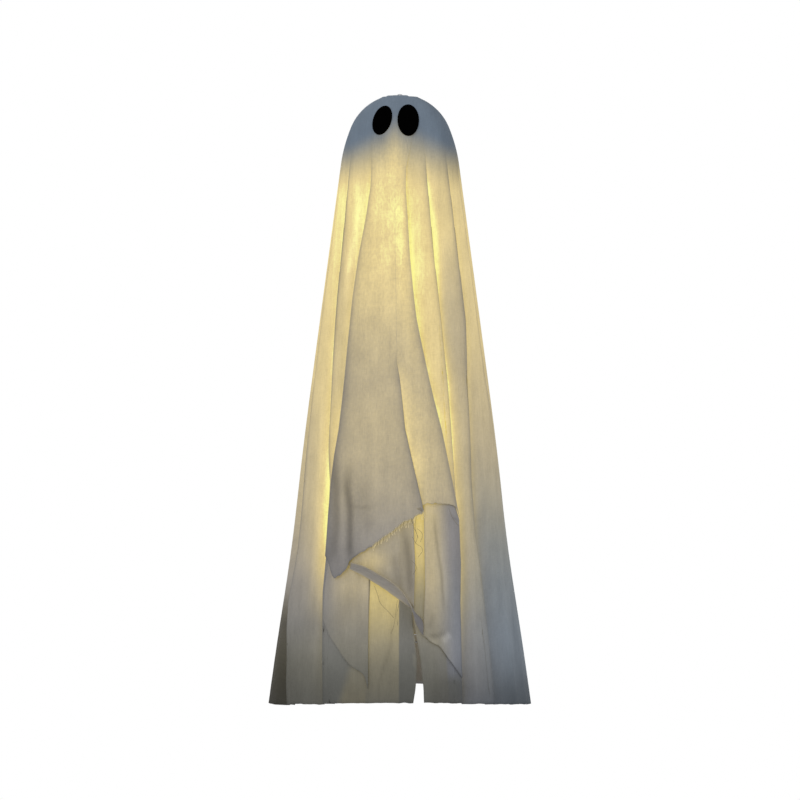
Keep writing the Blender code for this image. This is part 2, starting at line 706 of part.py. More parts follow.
def uprights(finish):
    """Four straight wires whose tops bend in and up into the sockets of the head's base."""
    socket_top = BASE_DEPTH + 2 * GAP
    socket_mouth = BASE_DEPTH + SOCKET_LENGTH
    bend_radius = frame_radius(bend_depth)
    knee = socket_ring_radius + (bend_radius - socket_ring_radius) * UPRIGHT_BEND_SHARE
    bend = [(socket_ring_radius, socket_top), (socket_ring_radius, socket_mouth + WIRE_RADIUS),
            (knee, bend_depth - UPRIGHT_BEND_RISE * 2),
            (bend_radius - WIRE_RADIUS, bend_depth - UPRIGHT_BEND_RISE / 2)]
    lower = [bend_depth + UPRIGHT_BEND_RISE, *hoop_depths[1:-1], hoop_depths[-1] + UPRIGHT_TAIL]
    for number, angle in enumerate(upright_angles(), start=1):
        points = [around(radius, angle, z_at(depth)) for radius, depth in bend]
        points += [around(frame_radius(depth), angle, z_at(depth)) for depth in lower]
        wire(f"upright_{number}", points, WIRE_RADIUS, finish, sides_step=2)


def hoops(finish):
    """Closed hoops welded inside the uprights."""
    for number, depth in enumerate(hoop_depths, start=1):
        radius = frame_radius(depth) - 2 * WIRE_RADIUS - GAP
        points = [around(radius, 360 * i / HOOP_POINTS, z_at(depth)) for i in range(HOOP_POINTS)]
        wire(f"hoop_{number}", points, WIRE_RADIUS, finish, closed=True, sides_step=1)


# Cells and their box


def box_front():
    return BOX_BACK - (2 * CELL_RADIUS + 2 * GAP + BOX_WALL)


def box_middle():
    return (BOX_BACK + box_front()) / 2


def box_half_width():
    return CELL_COUNT * CELL_PITCH / 2 + CELL_SIDE_ROOM + BOX_WALL


def box_top():
    return z_at(BASE_DEPTH) - GAP


def cells_top():
    return box_top() - BOX_TOP_WALL


def cell_room():
    return CELL_LENGTH + CELL_NUB + SPRING_LENGTH + 2 * CONTACT_THICKNESS + 4 * GAP


def bay_top():
    return cells_top() - cell_room() - BOX_WALL


def box_bottom():
    return bay_top() - BAY_HEIGHT - BOX_WALL


def hinge_place():
    return Vector((0, BOX_BACK + GAP + BARREL_RADIUS, box_top() - LID_HINGE_DROP))


def lead_height():
    return bay_top() - BAY_HEIGHT / 2


def slider_seat():
    return box_bottom() + BOX_WALL


def battery_box(finish):
    """A tray for three cells side by side, open behind, over a closed bay for the switch."""
    half = box_half_width()
    box = solid("battery_box", block((-half, box_front(), box_bottom()), (half, BOX_BACK, box_top())), finish,
                flat=True)
    front = box_front() + BOX_WALL
    inner = half - BOX_WALL
    joined(box, block((-inner, front, cells_top() - cell_room()), (inner, BOX_BACK + OVERRUN, cells_top())),
           'DIFFERENCE')
    joined(box, block((-inner, front, slider_seat()), (inner, BOX_BACK - BOX_WALL, bay_top())), 'DIFFERENCE')
    slot = SLIDER_HALF_LENGTH + SLIDER_TRAVEL / 2 + GAP
    joined(box, block((-slot, box_middle() - SLIDER_HALF_DEPTH - GAP, box_bottom() - OVERRUN),
                      (slot, box_middle() + SLIDER_HALF_DEPTH + GAP, slider_seat() + OVERRUN)), 'DIFFERENCE')
    hole = turned(disc_outline(BUSHING_RADIUS + GAP, 0, BOX_WALL + 2 * OVERRUN), 16,
                  along_axis((inner - OVERRUN, box_middle(), lead_height()), (1, 0, 0)))
    joined(box, hole, 'DIFFERENCE')
    hinge = hinge_place()
    for side in (-1, 1):
        screw = Matrix.Translation((side * BOX_SCREW_SPACING / 2, box_middle(), 0))
        drill = disc_outline(BOX_SCREW_RADIUS + GAP, cells_top() - OVERRUN, box_top() + OVERRUN)
        joined(box, turned(drill, 12, screw), 'DIFFERENCE')
        start = (side * (half - EAR_WIDTH), hinge.y, hinge.z)
        ear = turned(disc_outline(EAR_RADIUS, 0, EAR_WIDTH), 16, along_axis(start, (side, 0, 0)))
        joined(box, ear, 'UNION')
        low, high = sorted((side * (half - EAR_WIDTH), side * half))
        joined(box, block((low, BOX_BACK - BOX_WALL, hinge.z - EAR_RADIUS),
                          (high, hinge.y, hinge.z + EAR_RADIUS)), 'UNION')
    pin_run = half + OVERRUN
    joined(box, turned(disc_outline(PIN_RADIUS + GAP, 0, 2 * pin_run), 12,
                       along_axis((-pin_run, hinge.y, hinge.z), (1, 0, 0))), 'DIFFERENCE')
    joined(box, lid_screw_room(), 'DIFFERENCE')
    return box


def lid_bottom():
    return bay_top() - BOX_WALL


def lid_screw_height():
    return bay_top() + BOX_WALL / 2 - LID_SCREW_RISE


def lid_screw_room():
    """The screw's blind hole under the cells, wide enough for the arc that its tip swings out on."""
    room = LID_SCREW_RADIUS + LID_SCREW_ROOM
    run = LID_SCREW_LENGTH - LID_THICKNESS + LID_SCREW_ROOM
    return turned(disc_outline(room, 0, run + OVERRUN), 12,
                  along_axis((0, BOX_BACK + OVERRUN, lid_screw_height()), (0, -1, 0)))


def battery_lid(finish):
    """A plate hung from a barrel on the hinge pin, with a hole for its own captive screw."""
    hinge = hinge_place()
    face = BOX_BACK + GAP
    half = box_half_width()
    ear_room = EAR_WIDTH + GAP
    lid = solid("battery_lid", block((-half, face, lid_bottom()),
                                     (half, face + LID_THICKNESS, hinge.z - EAR_RADIUS - GAP)), finish, hinge,
                flat=True)
    tab = half - ear_room
    low = hinge.z - EAR_RADIUS - 2 * GAP
    joined(lid, block((-tab, face, low), (tab, face + LID_THICKNESS, hinge.z)), 'UNION')
    joined(lid, turned(disc_outline(BARREL_RADIUS, 0, 2 * tab), 16,
                       along_axis((-tab, hinge.y, hinge.z), (1, 0, 0))), 'UNION')
    joined(lid, turned(disc_outline(PIN_RADIUS + GAP, 0, 2 * half), 12,
                       along_axis((-half, hinge.y, hinge.z), (1, 0, 0))), 'DIFFERENCE')
    joined(lid, turned(disc_outline(LID_SCREW_RADIUS + GAP, 0, LID_THICKNESS + 2 * OVERRUN), 12,
                       along_axis((0, face - OVERRUN, lid_screw_height()), (0, 1, 0))), 'DIFFERENCE')
    return lid


def lid_parts(steel):
    hinge = hinge_place()
    half = box_half_width()
    solid("lid_hinge_pin", turned(disc_outline(PIN_RADIUS, 0, 2 * half), 12,
                                  along_axis((-half, hinge.y, hinge.z), (1, 0, 0))), steel)
    seat = BOX_BACK + LID_THICKNESS + 2 * GAP
    place = along_axis((0, seat, lid_screw_height()), (0, -1, 0))
    screw = screw_mesh(LID_SCREW_RADIUS, LID_SCREW_HEAD_RADIUS, LID_SCREW_HEAD, LID_SCREW_LENGTH, place)
    solid("lid_screw", screw, steel, hinge)


def box_screws(steel):
    top = z_at(BASE_DEPTH) + BASE_THICKNESS + GAP
    length = BASE_THICKNESS + BOX_TOP_WALL
    for number, side in enumerate((-1, 1), start=1):
        place = along_axis((side * BOX_SCREW_SPACING / 2, box_middle(), top), (0, 0, -1))
        screw = screw_mesh(BOX_SCREW_RADIUS, BOX_SCREW_HEAD_RADIUS, BOX_SCREW_HEAD, length, place)
        solid(f"box_screw_{number}", screw, steel)


def cells(jacket, steel):
    """Three cells, nub up, each on a spring, between a contact strip above and one below."""
    strip_half = box_half_width() - BOX_WALL - GAP
    middle = BOX_BACK - GAP - CELL_RADIUS
    strip_top = cells_top() - GAP
    floor = cells_top() - cell_room()
    solid("upper_contact", block((-strip_half, middle - CONTACT_HALF_WIDTH, strip_top - CONTACT_THICKNESS),
                                 (strip_half, middle + CONTACT_HALF_WIDTH, strip_top)), steel, flat=True)
    solid("lower_contact", block((-strip_half, middle - CONTACT_HALF_WIDTH, floor + GAP),
                                 (strip_half, middle + CONTACT_HALF_WIDTH, floor + GAP + CONTACT_THICKNESS)),
          steel, flat=True)
    nub_top = strip_top - CONTACT_THICKNESS - GAP
    cell_top = nub_top - CELL_NUB
    for number in range(CELL_COUNT):
        x = (number - (CELL_COUNT - 1) / 2) * CELL_PITCH
        outline = [(0, nub_top), (CELL_NUB_RADIUS, nub_top), (CELL_NUB_RADIUS, cell_top),
                   (CELL_RADIUS, cell_top), (CELL_RADIUS, cell_top - CELL_LENGTH),
                   (0, cell_top - CELL_LENGTH)]
        solid(f"cell_{number + 1}", turned(outline, 24, Matrix.Translation((x, middle, 0))), jacket)
        low = floor + 2 * GAP + CONTACT_THICKNESS + SPRING_WIRE / 2
        high = cell_top - CELL_LENGTH - GAP - SPRING_WIRE / 2
        steps = SPRING_TURNS * SPRING_TURN_POINTS
        coil = []
        for i in range(steps + 1):
            turn = 2 * pi * i / SPRING_TURN_POINTS
            radius = SPRING_RADIUS * (1 - SPRING_TAPER_SHARE * i / steps)
            coil.append((x + radius * cos(turn), middle + radius * sin(turn), low + (high - low) * i / steps))
        wire(f"cell_spring_{number + 1}", coil, SPRING_WIRE / 2, steel, sides_step=0)


def switch_parts(black, board_green):
    middle = box_middle()
    flange_top = slider_seat() + GAP + SLIDER_FLANGE_THICKNESS
    switch_low = flange_top + GAP
    solid("switch_body", block((-SWITCH_HALF_LENGTH, middle - SWITCH_HALF_DEPTH, switch_low),
                               (SWITCH_HALF_LENGTH, middle + SWITCH_HALF_DEPTH, switch_low + SWITCH_HEIGHT)),
          black, flat=True)
    start = -SLIDER_TRAVEL / 2
    flange = SLIDER_HALF_LENGTH + SLIDER_FLANGE
    depth = SLIDER_HALF_DEPTH + SLIDER_FLANGE
    stem = block((start - SLIDER_HALF_LENGTH, middle - SLIDER_HALF_DEPTH, box_bottom() - SLIDER_KNOB),
                 (start + SLIDER_HALF_LENGTH, middle + SLIDER_HALF_DEPTH, flange_top - GAP))
    knob = solid("switch_slider", stem, black, (start, middle, box_bottom()), flat=True)
    foot = block((start - flange, middle - depth, slider_seat() + GAP),
                 (start + flange, middle + depth, flange_top))
    joined(knob, foot, 'UNION')
    left = -(box_half_width() - BOX_WALL - GAP)
    bottom = slider_seat() + GAP
    front = box_front() + BOX_WALL + GAP
    solid("circuit_board", block((left, front, bottom), (left + BOARD_WIDTH, front + BOARD_THICKNESS,
                                                         bottom + BOARD_HEIGHT)), board_green, flat=True)


def lead_bushing(black):
    half = box_half_width()
    flange = half + GAP
    outline = [(BUSHING_BORE, flange + BUSHING_FLANGE), (BUSHING_FLANGE_RADIUS, flange + BUSHING_FLANGE),
               (BUSHING_FLANGE_RADIUS, flange), (BUSHING_RADIUS, flange), (BUSHING_RADIUS, half - BOX_WALL),
               (BUSHING_BORE, half - BOX_WALL)]
    place = along_axis((0, box_middle(), lead_height()), (1, 0, 0))
    solid("lead_bushing", turned(outline, 16, place), black)


# Light string


def winding_radius(depth):
    return frame_radius(depth) + WIRE_RADIUS + GAP + STRING_RADIUS


def winding_depth(turn):
    share = turn / WINDING_TURNS
    return winding_top_depth + (WINDING_BOTTOM_DEPTH - winding_top_depth) * share ** WINDING_SPREAD_POWER


def winding_point(turn):
    depth = winding_depth(turn)
    return around(winding_radius(depth), WINDING_START_ANGLE + 360 * turn, z_at(depth))


def lead_points():
    """The lead from the switch bay, through its bushing and out between two uprights to the winding."""
    start = Vector((box_half_width() - BOX_WALL - OVERRUN, box_middle(), lead_height()))
    straight = Vector((box_half_width() + BUSHING_FLANGE + OVERRUN, box_middle(), lead_height()))
    end = winding_point(0)
    along_winding = (winding_point(1 / LOOP_POINTS) - end).normalized()
    reach = (end - straight).length / 2
    first_handle = straight + Vector((reach, 0, -LEAD_SAG))
    last_handle = end - along_winding * reach
    points = [start]
    steps = 9
    for i in range(steps):
        t = i / steps
        points.append(straight * (1 - t) ** 3 + first_handle * 3 * t * (1 - t) ** 2
                      + last_handle * 3 * t ** 2 * (1 - t) + end * t ** 3)
    return points


def light_string(finish):
    """One wire wound down the outside of the uprights, swollen into a lamp bead at each lamp."""
    points = lead_points()
    swell = [1] * len(points)
    lamp = BEAD_RADIUS / STRING_RADIUS
    travelled = 0
    next_lamp = BEAD_SPACING / 2
    count = 0
    steps = WINDING_TURNS * LOOP_POINTS
    for i in range(steps + 1):
        here = winding_point(i / LOOP_POINTS)
        if i:
            travelled += (here - winding_point((i - 1) / LOOP_POINTS)).length
        angle = WINDING_START_ANGLE + 360 * i / LOOP_POINTS
        off = [abs((angle - upright + 180) % 360 - 180) for upright in upright_angles()]
        crossing = min(off) < CROSSING_ANGLE
        if travelled >= next_lamp and not crossing and i < steps:
            way = (winding_point((i + 1) / LOOP_POINTS) - here).normalized()
            for offset, size in ((-BEAD_HALF_LENGTH - BEAD_NECK, 1), (-BEAD_HALF_LENGTH, lamp),
                                 (BEAD_HALF_LENGTH, lamp), (BEAD_HALF_LENGTH + BEAD_NECK, 1)):
                points.append(here + way * offset)
                swell.append(size)
            next_lamp += BEAD_SPACING
            count += 1
        else:
            points.append(here)
            swell.append(1)
    least = min((winding_point(turn) - winding_point(turn + 1)).length
                for turn in (i / LOOP_POINTS for i in range(steps - LOOP_POINTS)))
    print("lamps", count, "winding", round(travelled, 3), "m, least gap between turns",
          round(least - 2 * BEAD_RADIUS, 4), "m")
    return wire("light_string", points, STRING_RADIUS, finish, sides_step=1, swell=swell)


# Felt eyes


def felt_eye(name, finish, out, half_width, half_height, lean):
    """An oval as seen from the front, laid onto the head and shoulder over the plies of cloth."""
    inner_radius = HEAD_RADIUS + 2 * ply_step + 2 * GAP
    turn = radians(lean)
    work = bmesh.new()
    layers = []
    for radius in (inner_radius, inner_radius + FELT_THICKNESS):
        rings = []
        for share in EYE_RING_SHARES:
            ring = []
            for i in range(EYE_POINTS if share else 1):
                a = 2 * pi * i / EYE_POINTS
                across = share * half_width * cos(a)
                up = share * half_height * sin(a)
                x = out + across * cos(turn) + up * sin(turn)
                z = head_centre + EYE_HEIGHT - across * sin(turn) + up * cos(turn)
                ball = sqrt(inner_radius ** 2 - (z - head_centre) ** 2)
                shoulder = outline_radius(CROWN_HEIGHT - z) + inner_radius - HEAD_RADIUS + GAP
                y = -sqrt(max(ball, shoulder) ** 2 - x ** 2)
                way = Vector((x, y, z - head_centre)).normalized()
                ring.append(work.verts.new(Vector((x, y, z)) + way * (radius - inner_radius)))
            rings.append(ring)
        layers.append(rings)
    for rings in layers:
        for ring, after in zip(rings, rings[1:]):
            for i in range(EYE_POINTS):
                j = (i + 1) % EYE_POINTS
                corners = [ring[i % len(ring)], after[i], after[j], ring[j % len(ring)]]
                work.faces.new(list(dict.fromkeys(corners)))
    for i in range(EYE_POINTS):
        j = (i + 1) % EYE_POINTS
        work.faces.new((layers[0][-1][i], layers[1][-1][i], layers[1][-1][j], layers[0][-1][j]))
    mesh = bpy.data.meshes.new(name)
    work.to_mesh(mesh)
    work.free()
    return solid(name, mesh, finish)


def build_ghost():
    for old in list(bpy.data.objects):
        bpy.data.objects.remove(old, do_unlink=True)
    muslin = material("muslin", (0.62, 0.60, 0.54), 0.95)
    felt = material("black_felt", (0.006, 0.006, 0.006), 0.95)
    steel = material("zinc_steel", (0.62, 0.63, 0.64), 0.35, 1.0)
    frame_wire = material("frame_wire", (0.50, 0.51, 0.50), 0.45, 1.0)
    shell_plastic = material("shell_plastic", (0.55, 0.56, 0.57), 0.55)
    box_plastic = material("box_plastic", (0.75, 0.75, 0.72), 0.5)
    black_plastic = material("black_plastic", (0.02, 0.02, 0.02), 0.5)
    jacket = material("cell_jacket", (0.10, 0.16, 0.30), 0.35)
    board_green = material("board_green", (0.02, 0.16, 0.07), 0.4)
    string_copper = material("string_copper", (0.70, 0.55, 0.35), 0.4)
    crown_fittings(steel)
    head_shell(shell_plastic)
    head_base(shell_plastic)
    base_screws(steel)
    uprights(frame_wire)
    hoops(frame_wire)
    battery_box(box_plastic)
    battery_lid(box_plastic)
    lid_parts(steel)
    box_screws(steel)
    cells(jacket, steel)
    switch_parts(black_plastic, board_green)
    lead_bushing(black_plastic)
    light_string(string_copper)
    main_cloth(muslin)
    lining_panel(muslin)
    front_panel(muslin)
    felt_eye("eye_left", felt, -LEFT_EYE_OUT, LEFT_EYE_HALF_WIDTH, LEFT_EYE_HALF_HEIGHT, LEFT_EYE_LEAN)
    felt_eye("eye_right", felt, RIGHT_EYE_OUT, RIGHT_EYE_HALF_WIDTH, RIGHT_EYE_HALF_HEIGHT, RIGHT_EYE_LEAN)


build_ghost()
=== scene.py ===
# %% [markdown]
# A light-up ghost: muslin draped over a moulded head and a wire cone, with a lamp string inside.
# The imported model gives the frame, the box and the fittings. This script dresses it: it drapes the
# cloth in fine folds, gives each surface its finish and lights the scene. The model is loaded first,
# and its box is kept, so that the dressed ghost can be compared with it at the end.

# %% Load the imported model
from math import acos, cos, exp, pi, radians, sin, sqrt

import bmesh
import bpy
import numpy as np
from mathutils import Matrix, Vector, noise


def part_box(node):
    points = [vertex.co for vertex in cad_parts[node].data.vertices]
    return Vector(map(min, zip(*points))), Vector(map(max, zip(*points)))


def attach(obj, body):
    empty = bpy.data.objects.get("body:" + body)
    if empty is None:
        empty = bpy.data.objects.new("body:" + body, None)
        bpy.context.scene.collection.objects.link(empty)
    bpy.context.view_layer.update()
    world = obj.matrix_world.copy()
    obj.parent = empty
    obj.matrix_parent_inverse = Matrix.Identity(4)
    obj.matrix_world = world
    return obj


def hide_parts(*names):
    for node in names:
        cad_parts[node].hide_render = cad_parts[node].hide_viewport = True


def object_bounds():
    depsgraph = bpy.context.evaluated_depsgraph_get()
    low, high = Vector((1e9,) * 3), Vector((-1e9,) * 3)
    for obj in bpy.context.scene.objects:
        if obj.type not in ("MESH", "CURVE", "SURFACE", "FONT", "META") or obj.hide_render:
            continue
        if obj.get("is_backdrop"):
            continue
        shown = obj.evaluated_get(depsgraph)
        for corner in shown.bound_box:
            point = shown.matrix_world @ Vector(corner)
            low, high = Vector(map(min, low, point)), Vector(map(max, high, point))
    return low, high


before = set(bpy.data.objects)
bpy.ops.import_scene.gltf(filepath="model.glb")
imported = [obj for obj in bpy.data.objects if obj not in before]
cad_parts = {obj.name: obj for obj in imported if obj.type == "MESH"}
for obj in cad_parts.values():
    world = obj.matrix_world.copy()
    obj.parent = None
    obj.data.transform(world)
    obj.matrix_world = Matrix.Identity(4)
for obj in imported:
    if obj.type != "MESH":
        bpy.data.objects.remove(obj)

cad_box = [list(corner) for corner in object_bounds()]
print("nodes", len(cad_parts), "box", [[round(x, 4) for x in corner] for corner in cad_box])

# %% [markdown]
# The cloth is described as on a tailor's dummy: how far down from the crown, and at which angle from
# the front. These sizes are the model's own, so that what is draped here fits round what it holds.
# Lengths are in metres and angles in degrees. An angle grows from the middle of the front to +X.

# %% Sizes shared with the model
GHOST_HEIGHT = 0.9127
CROWN_HEIGHT = 0.0020
HEAD_RADIUS = 0.0795
HEAD_LEAVE_DEPTH = 0.050
SHOULDER_DEPTH = 0.104
SHOULDER_RADIUS = 0.0885
HEM_RADIUS = 0.197
WAIST_DEPTH = 0.680
WAIST_SPREAD = 0.120
WAIST_DRAW = 0.003
HEM_FRONT_RISE = 0.009
HEM_BACK_RISE = 0.021
CONE_SLOPE = (HEM_RADIUS - SHOULDER_RADIUS) / (GHOST_HEIGHT - SHOULDER_DEPTH)

PLY_STEP = 0.0016
FOLD_STEP = 0.0068
FLAP_STAND = 0.0065
FOLD_START_DEPTH = 0.055
FOLD_FULL_DEPTH = 0.300
SLIT_TOP_DEPTH = 0.767
CLOTH_THICKNESS = 0.0005


def z_at(depth):
    return CROWN_HEIGHT - depth


def smooth(low, high, value):
    t = np.clip((value - low) / (high - low), 0, 1)
    return t * t * (3 - 2 * t)


def cone_radius(depth):
    return SHOULDER_RADIUS + CONE_SLOPE * (depth - SHOULDER_DEPTH)


def hermite(t, start, leaving, end, arriving):
    """From start to end as t goes from 0 to 1, with the slopes that are given for both ends."""
    return ((2 * t ** 3 - 3 * t ** 2 + 1) * start + (t ** 3 - 2 * t ** 2 + t) * leaving
            + (3 * t ** 2 - 2 * t ** 3) * end + (t ** 3 - t ** 2) * arriving)


def wrapped(angle):
    """The same direction as an angle from -180 to 180."""
    return (angle + 180) % 360 - 180


def outline_radius(depth):
    """Outside of the cloth: a ball, a shoulder that eases off it, and a cone with a slight waist."""
    if depth <= HEAD_LEAVE_DEPTH:
        return sqrt(HEAD_RADIUS ** 2 - (HEAD_RADIUS - depth) ** 2)
    if depth < SHOULDER_DEPTH:
        span = SHOULDER_DEPTH - HEAD_LEAVE_DEPTH
        start = sqrt(HEAD_RADIUS ** 2 - (HEAD_RADIUS - HEAD_LEAVE_DEPTH) ** 2)
        start_slope = (HEAD_RADIUS - HEAD_LEAVE_DEPTH) / start
        return hermite((depth - HEAD_LEAVE_DEPTH) / span, start, span * start_slope, SHOULDER_RADIUS,
                       span * CONE_SLOPE)
    return cone_radius(depth) - WAIST_DRAW * exp(-((depth - WAIST_DEPTH) / WAIST_SPREAD) ** 2)


def hem_depth(angle):
    front = max(cos(radians(angle)), 0) ** 2
    back = max(-cos(radians(angle)), 0) ** 2
    return GHOST_HEIGHT - HEM_FRONT_RISE * front - HEM_BACK_RISE * back


def around(radius, angle, z):
    return Vector((radius * sin(radians(angle)), -radius * cos(radians(angle)), z))


print("radius at the shoulder", outline_radius(SHOULDER_DEPTH), "and at the hem",
      round(outline_radius(GHOST_HEIGHT), 4))

# %% [markdown]
# At the crown the cloth dips into a shallow well round the ring's post, where depth alone can't say
# how far along the cloth a point is. So a station counts along the cloth instead. On the ball and
# the cone it is the depth, and it goes on below that into the well, up to the hole at the post.

# %% The profile of the cloth, from the hole in the crown to the hem
CROWN_PATH = ((0.0045, -0.0073), (0.0100, -0.0073), (0.0165, -0.0073), (0.0190, -0.0070),
              (0.0207, -0.0058), (0.0220, -0.0040), (0.0232, -0.0023), (0.0245, -0.0016),
              (0.0262, -0.0018), (0.0285, -0.0030))
FIRST_BALL_DEPTH = 0.0068
PROFILE_STEPS = 1200
PROFILE_POWER = 1.5
HEM_OVERRUN = 0.012

profile_shares = np.linspace(0, 1, PROFILE_STEPS) ** PROFILE_POWER
ball_depths = FIRST_BALL_DEPTH + profile_shares * (GHOST_HEIGHT + HEM_OVERRUN - FIRST_BALL_DEPTH)
profile_radius = np.array([r for r, _ in CROWN_PATH] + [outline_radius(d) for d in ball_depths])
profile_height = np.array([z for _, z in CROWN_PATH] + [z_at(d) for d in ball_depths])
steps = np.hypot(np.diff(profile_radius), np.diff(profile_height))
crown_stations = FIRST_BALL_DEPTH - np.cumsum(steps[:len(CROWN_PATH)][::-1])[::-1]
profile_station = np.concatenate([crown_stations, ball_depths])
slope_out = np.gradient(profile_radius)
slope_down = np.gradient(profile_height)
slope_size = np.hypot(slope_out, slope_down)
normal_out = -slope_down / slope_size
normal_up = slope_out / slope_size


def radius_at(station):
    return np.interp(station, profile_station, profile_radius)


def on_profile(station, lift):
    """Radius and height of a point of the cloth that stands off the outline by a lift."""
    height = np.interp(station, profile_station, profile_height)
    out = np.interp(station, profile_station, normal_out)
    up = np.interp(station, profile_station, normal_up)
    return radius_at(station) + out * lift, height + up * lift


print("way from the hole to the ball", round(FIRST_BALL_DEPTH - crown_stations[0], 4), "m")

# %% [markdown]
# Each fold runs down the ghost along a line, given as a few stops of depth and angle and read
# straight between them. The main cloth has knife folds: two on its left half, as seen, three on its
# right half and three behind. The panel in front has its two edges, and lower down a fold of its own
# that parts it into two flaps.

# %% Fold lines: stops of depth and angle
FAR_LEFT = ((0.0, -80), (0.270, -79), (0.458, -76.4), (0.533, -72.5), (0.608, -70.6), (0.683, -69.6),
            (0.758, -73.0), (0.850, -64.2), (0.911, -59.3))
LEFT = ((0.0, -60), (0.083, -58.2), (0.188, -55.7), (0.308, -54.3), (0.383, -52.3), (0.458, -49.6),
        (0.533, -46.4), (0.578, -44.0), (0.628, -43.1), (0.683, -42.4), (0.743, -42.2), (0.800, -39.8),
        (0.833, -38.7), (0.908, -35.7))
RIGHT = ((0.0, 24), (0.053, 25.0), (0.143, 26.4), (0.248, 28.4), (0.338, 31.0), (0.428, 32.5),
         (0.503, 32.7), (0.653, 33.1), (0.713, 31.8), (0.758, 30.8), (0.833, 29.1), (0.911, 28.4))
FAR_RIGHT = ((0.0, 52), (0.083, 52.0), (0.188, 53.5), (0.338, 55), (0.383, 52.5), (0.428, 49.8),
             (0.503, 47.8), (0.578, 45.4), (0.653, 45.2), (0.713, 46.4), (0.911, 46.6))
EDGE_RIGHT = ((0.0, 74), (0.420, 76), (0.533, 80.3), (0.640, 84), (0.911, 86))
BACK_RIGHT = ((0.0, 104), (0.456, 101), (0.913, 102))
BACK = ((0.0, 160), (0.456, 152), (0.913, 148))
BACK_LEFT = ((0.0, 212), (0.456, 216), (0.913, 224))
PANEL_LEFT = ((0.0, -50), (0.045, -33), (0.113, -28.0), (0.143, -26.8), (0.188, -28.8), (0.248, -32.7),
              (0.308, -34.8), (0.383, -35.9), (0.428, -36.2), (0.458, -36.6), (0.503, -37.5),
              (0.540, -39.3), (0.578, -40.3), (0.628, -40.5), (0.683, -40.2), (0.760, -40.0))
PANEL_RIGHT = ((0.0, 30), (0.045, 16), (0.113, 6), (0.143, 5), (0.188, 6.2), (0.248, 7.4), (0.308, 9.6),
               (0.338, 11.0), (0.383, 14.5), (0.428, 17.9), (0.503, 24.8), (0.533, 27.0), (0.578, 30.0),
               (0.608, 31.8), (0.650, 34.2))
PANEL_FOLD = ((0.0, -6), (0.403, -2.0), (0.428, -0.2), (0.458, 1.2), (0.503, 2.9), (0.533, 5.3),
              (0.578, 9.0), (0.608, 11.3), (0.640, 13.2))
SLIT_LEFT = ((0.0, 0), (0.729, 4.0), (SLIT_TOP_DEPTH, 5.7), (0.842, 7.7), (0.882, 6.9), (0.911, 5.4))
SLIT_RIGHT = ((0.0, 9), (0.729, 8.0), (SLIT_TOP_DEPTH, 6.0), (0.842, 9.2), (0.882, 10.2), (0.911, 10.3))


def read_line(stops, station):
    depths, values = zip(*stops)
    return np.interp(station, depths, values)


print("the left fold at mid height lies at", round(float(read_line(LEFT, 0.456)), 1), "degrees")

# %% [markdown]
# The lamps light the cloth from inside. Working that light out as it travels would be slow and
# noisy, so each vertex stores how strongly it glows. A fold is three layers thick on its high side,
# where it is dim, and one layer thick on its low side, where it has a bright rim. Both change from
# the head to the hem, so each fold carries two curves of depth: how bright the rim is and how much
# light is left in the hollow. High is 1 where the high side lies at the larger angles, or else -1.

# %% Folds with their rims and hollows
PLAIN_RIM = ((0.13, 1.10), (0.31, 1.40), (0.55, 1.70), (0.73, 1.60), (0.91, 1.20))
PLAIN_HOLLOW = ((0.13, 0.80), (0.25, 0.55), (0.60, 0.50), (0.75, 0.70), (0.91, 0.90))
LEFT_RIM = ((0.13, 1.12), (0.20, 1.20), (0.31, 1.40), (0.43, 1.65), (0.49, 2.40), (0.55, 3.30),
            (0.61, 4.40), (0.65, 5.40), (0.71, 6.80), (0.75, 5.60), (0.79, 4.00), (0.91, 1.40))
LEFT_HOLLOW = ((0.13, 0.95), (0.16, 0.86), (0.20, 0.66), (0.31, 0.60), (0.43, 0.80), (0.55, 0.85))
FAR_LEFT_RIM = ((0.20, 1.0), (0.43, 1.10), (0.55, 1.45), (0.67, 1.50), (0.73, 1.2))
FAR_LEFT_HOLLOW = ((0.20, 1.0), (0.43, 0.85), (0.49, 0.55), (0.67, 0.50), (0.80, 0.90))
RIGHT_RIM = ((0.13, 1.45), (0.17, 2.00), (0.25, 4.80), (0.31, 2.80), (0.35, 2.40), (0.43, 4.60),
             (0.50, 4.20), (0.58, 2.60), (0.65, 2.80), (0.71, 4.60), (0.79, 4.50), (0.85, 1.60))
RIGHT_HOLLOW = ((0.10, 0.62), (0.16, 0.68), (0.25, 0.78), (0.43, 0.85), (0.60, 0.85))
FAR_RIGHT_RIM = ((0.13, 1.30), (0.37, 1.35), (0.43, 1.55), (0.55, 2.00), (0.62, 2.80), (0.67, 2.50),
                 (0.73, 1.80), (0.80, 1.30))
FAR_RIGHT_HOLLOW = ((0.10, 0.55), (0.20, 0.55), (0.31, 0.48), (0.49, 0.60), (0.61, 0.50), (0.67, 0.85))
EDGE_RIM = ((0.30, 1.0), (0.42, 1.35), (0.53, 1.20), (0.64, 1.0))
EDGE_HOLLOW = ((0.30, 1.0), (0.40, 0.72), (0.53, 0.80), (0.64, 1.0))
PANEL_EDGE_RIM = ((0.10, 1.05), (0.16, 1.15), (0.31, 1.32), (0.49, 1.32), (0.62, 1.1), (0.64, 1.0))
PANEL_LEFT_HOLLOW = ((0.10, 1.00), (0.16, 0.72), (0.25, 0.60), (0.34, 0.62), (0.43, 0.46), (0.50, 0.37),
                     (0.61, 0.42))
PANEL_RIGHT_HOLLOW = ((0.10, 0.95), (0.13, 0.88), (0.25, 0.86), (0.31, 0.74), (0.43, 0.66), (0.61, 0.45))
PANEL_FOLD_RIM = ((0.38, 1.0), (0.43, 1.45), (0.49, 1.75), (0.55, 1.95), (0.61, 1.55))
PANEL_FOLD_HOLLOW = ((0.38, 1.0), (0.41, 0.80), (0.49, 0.66), (0.61, 0.60))
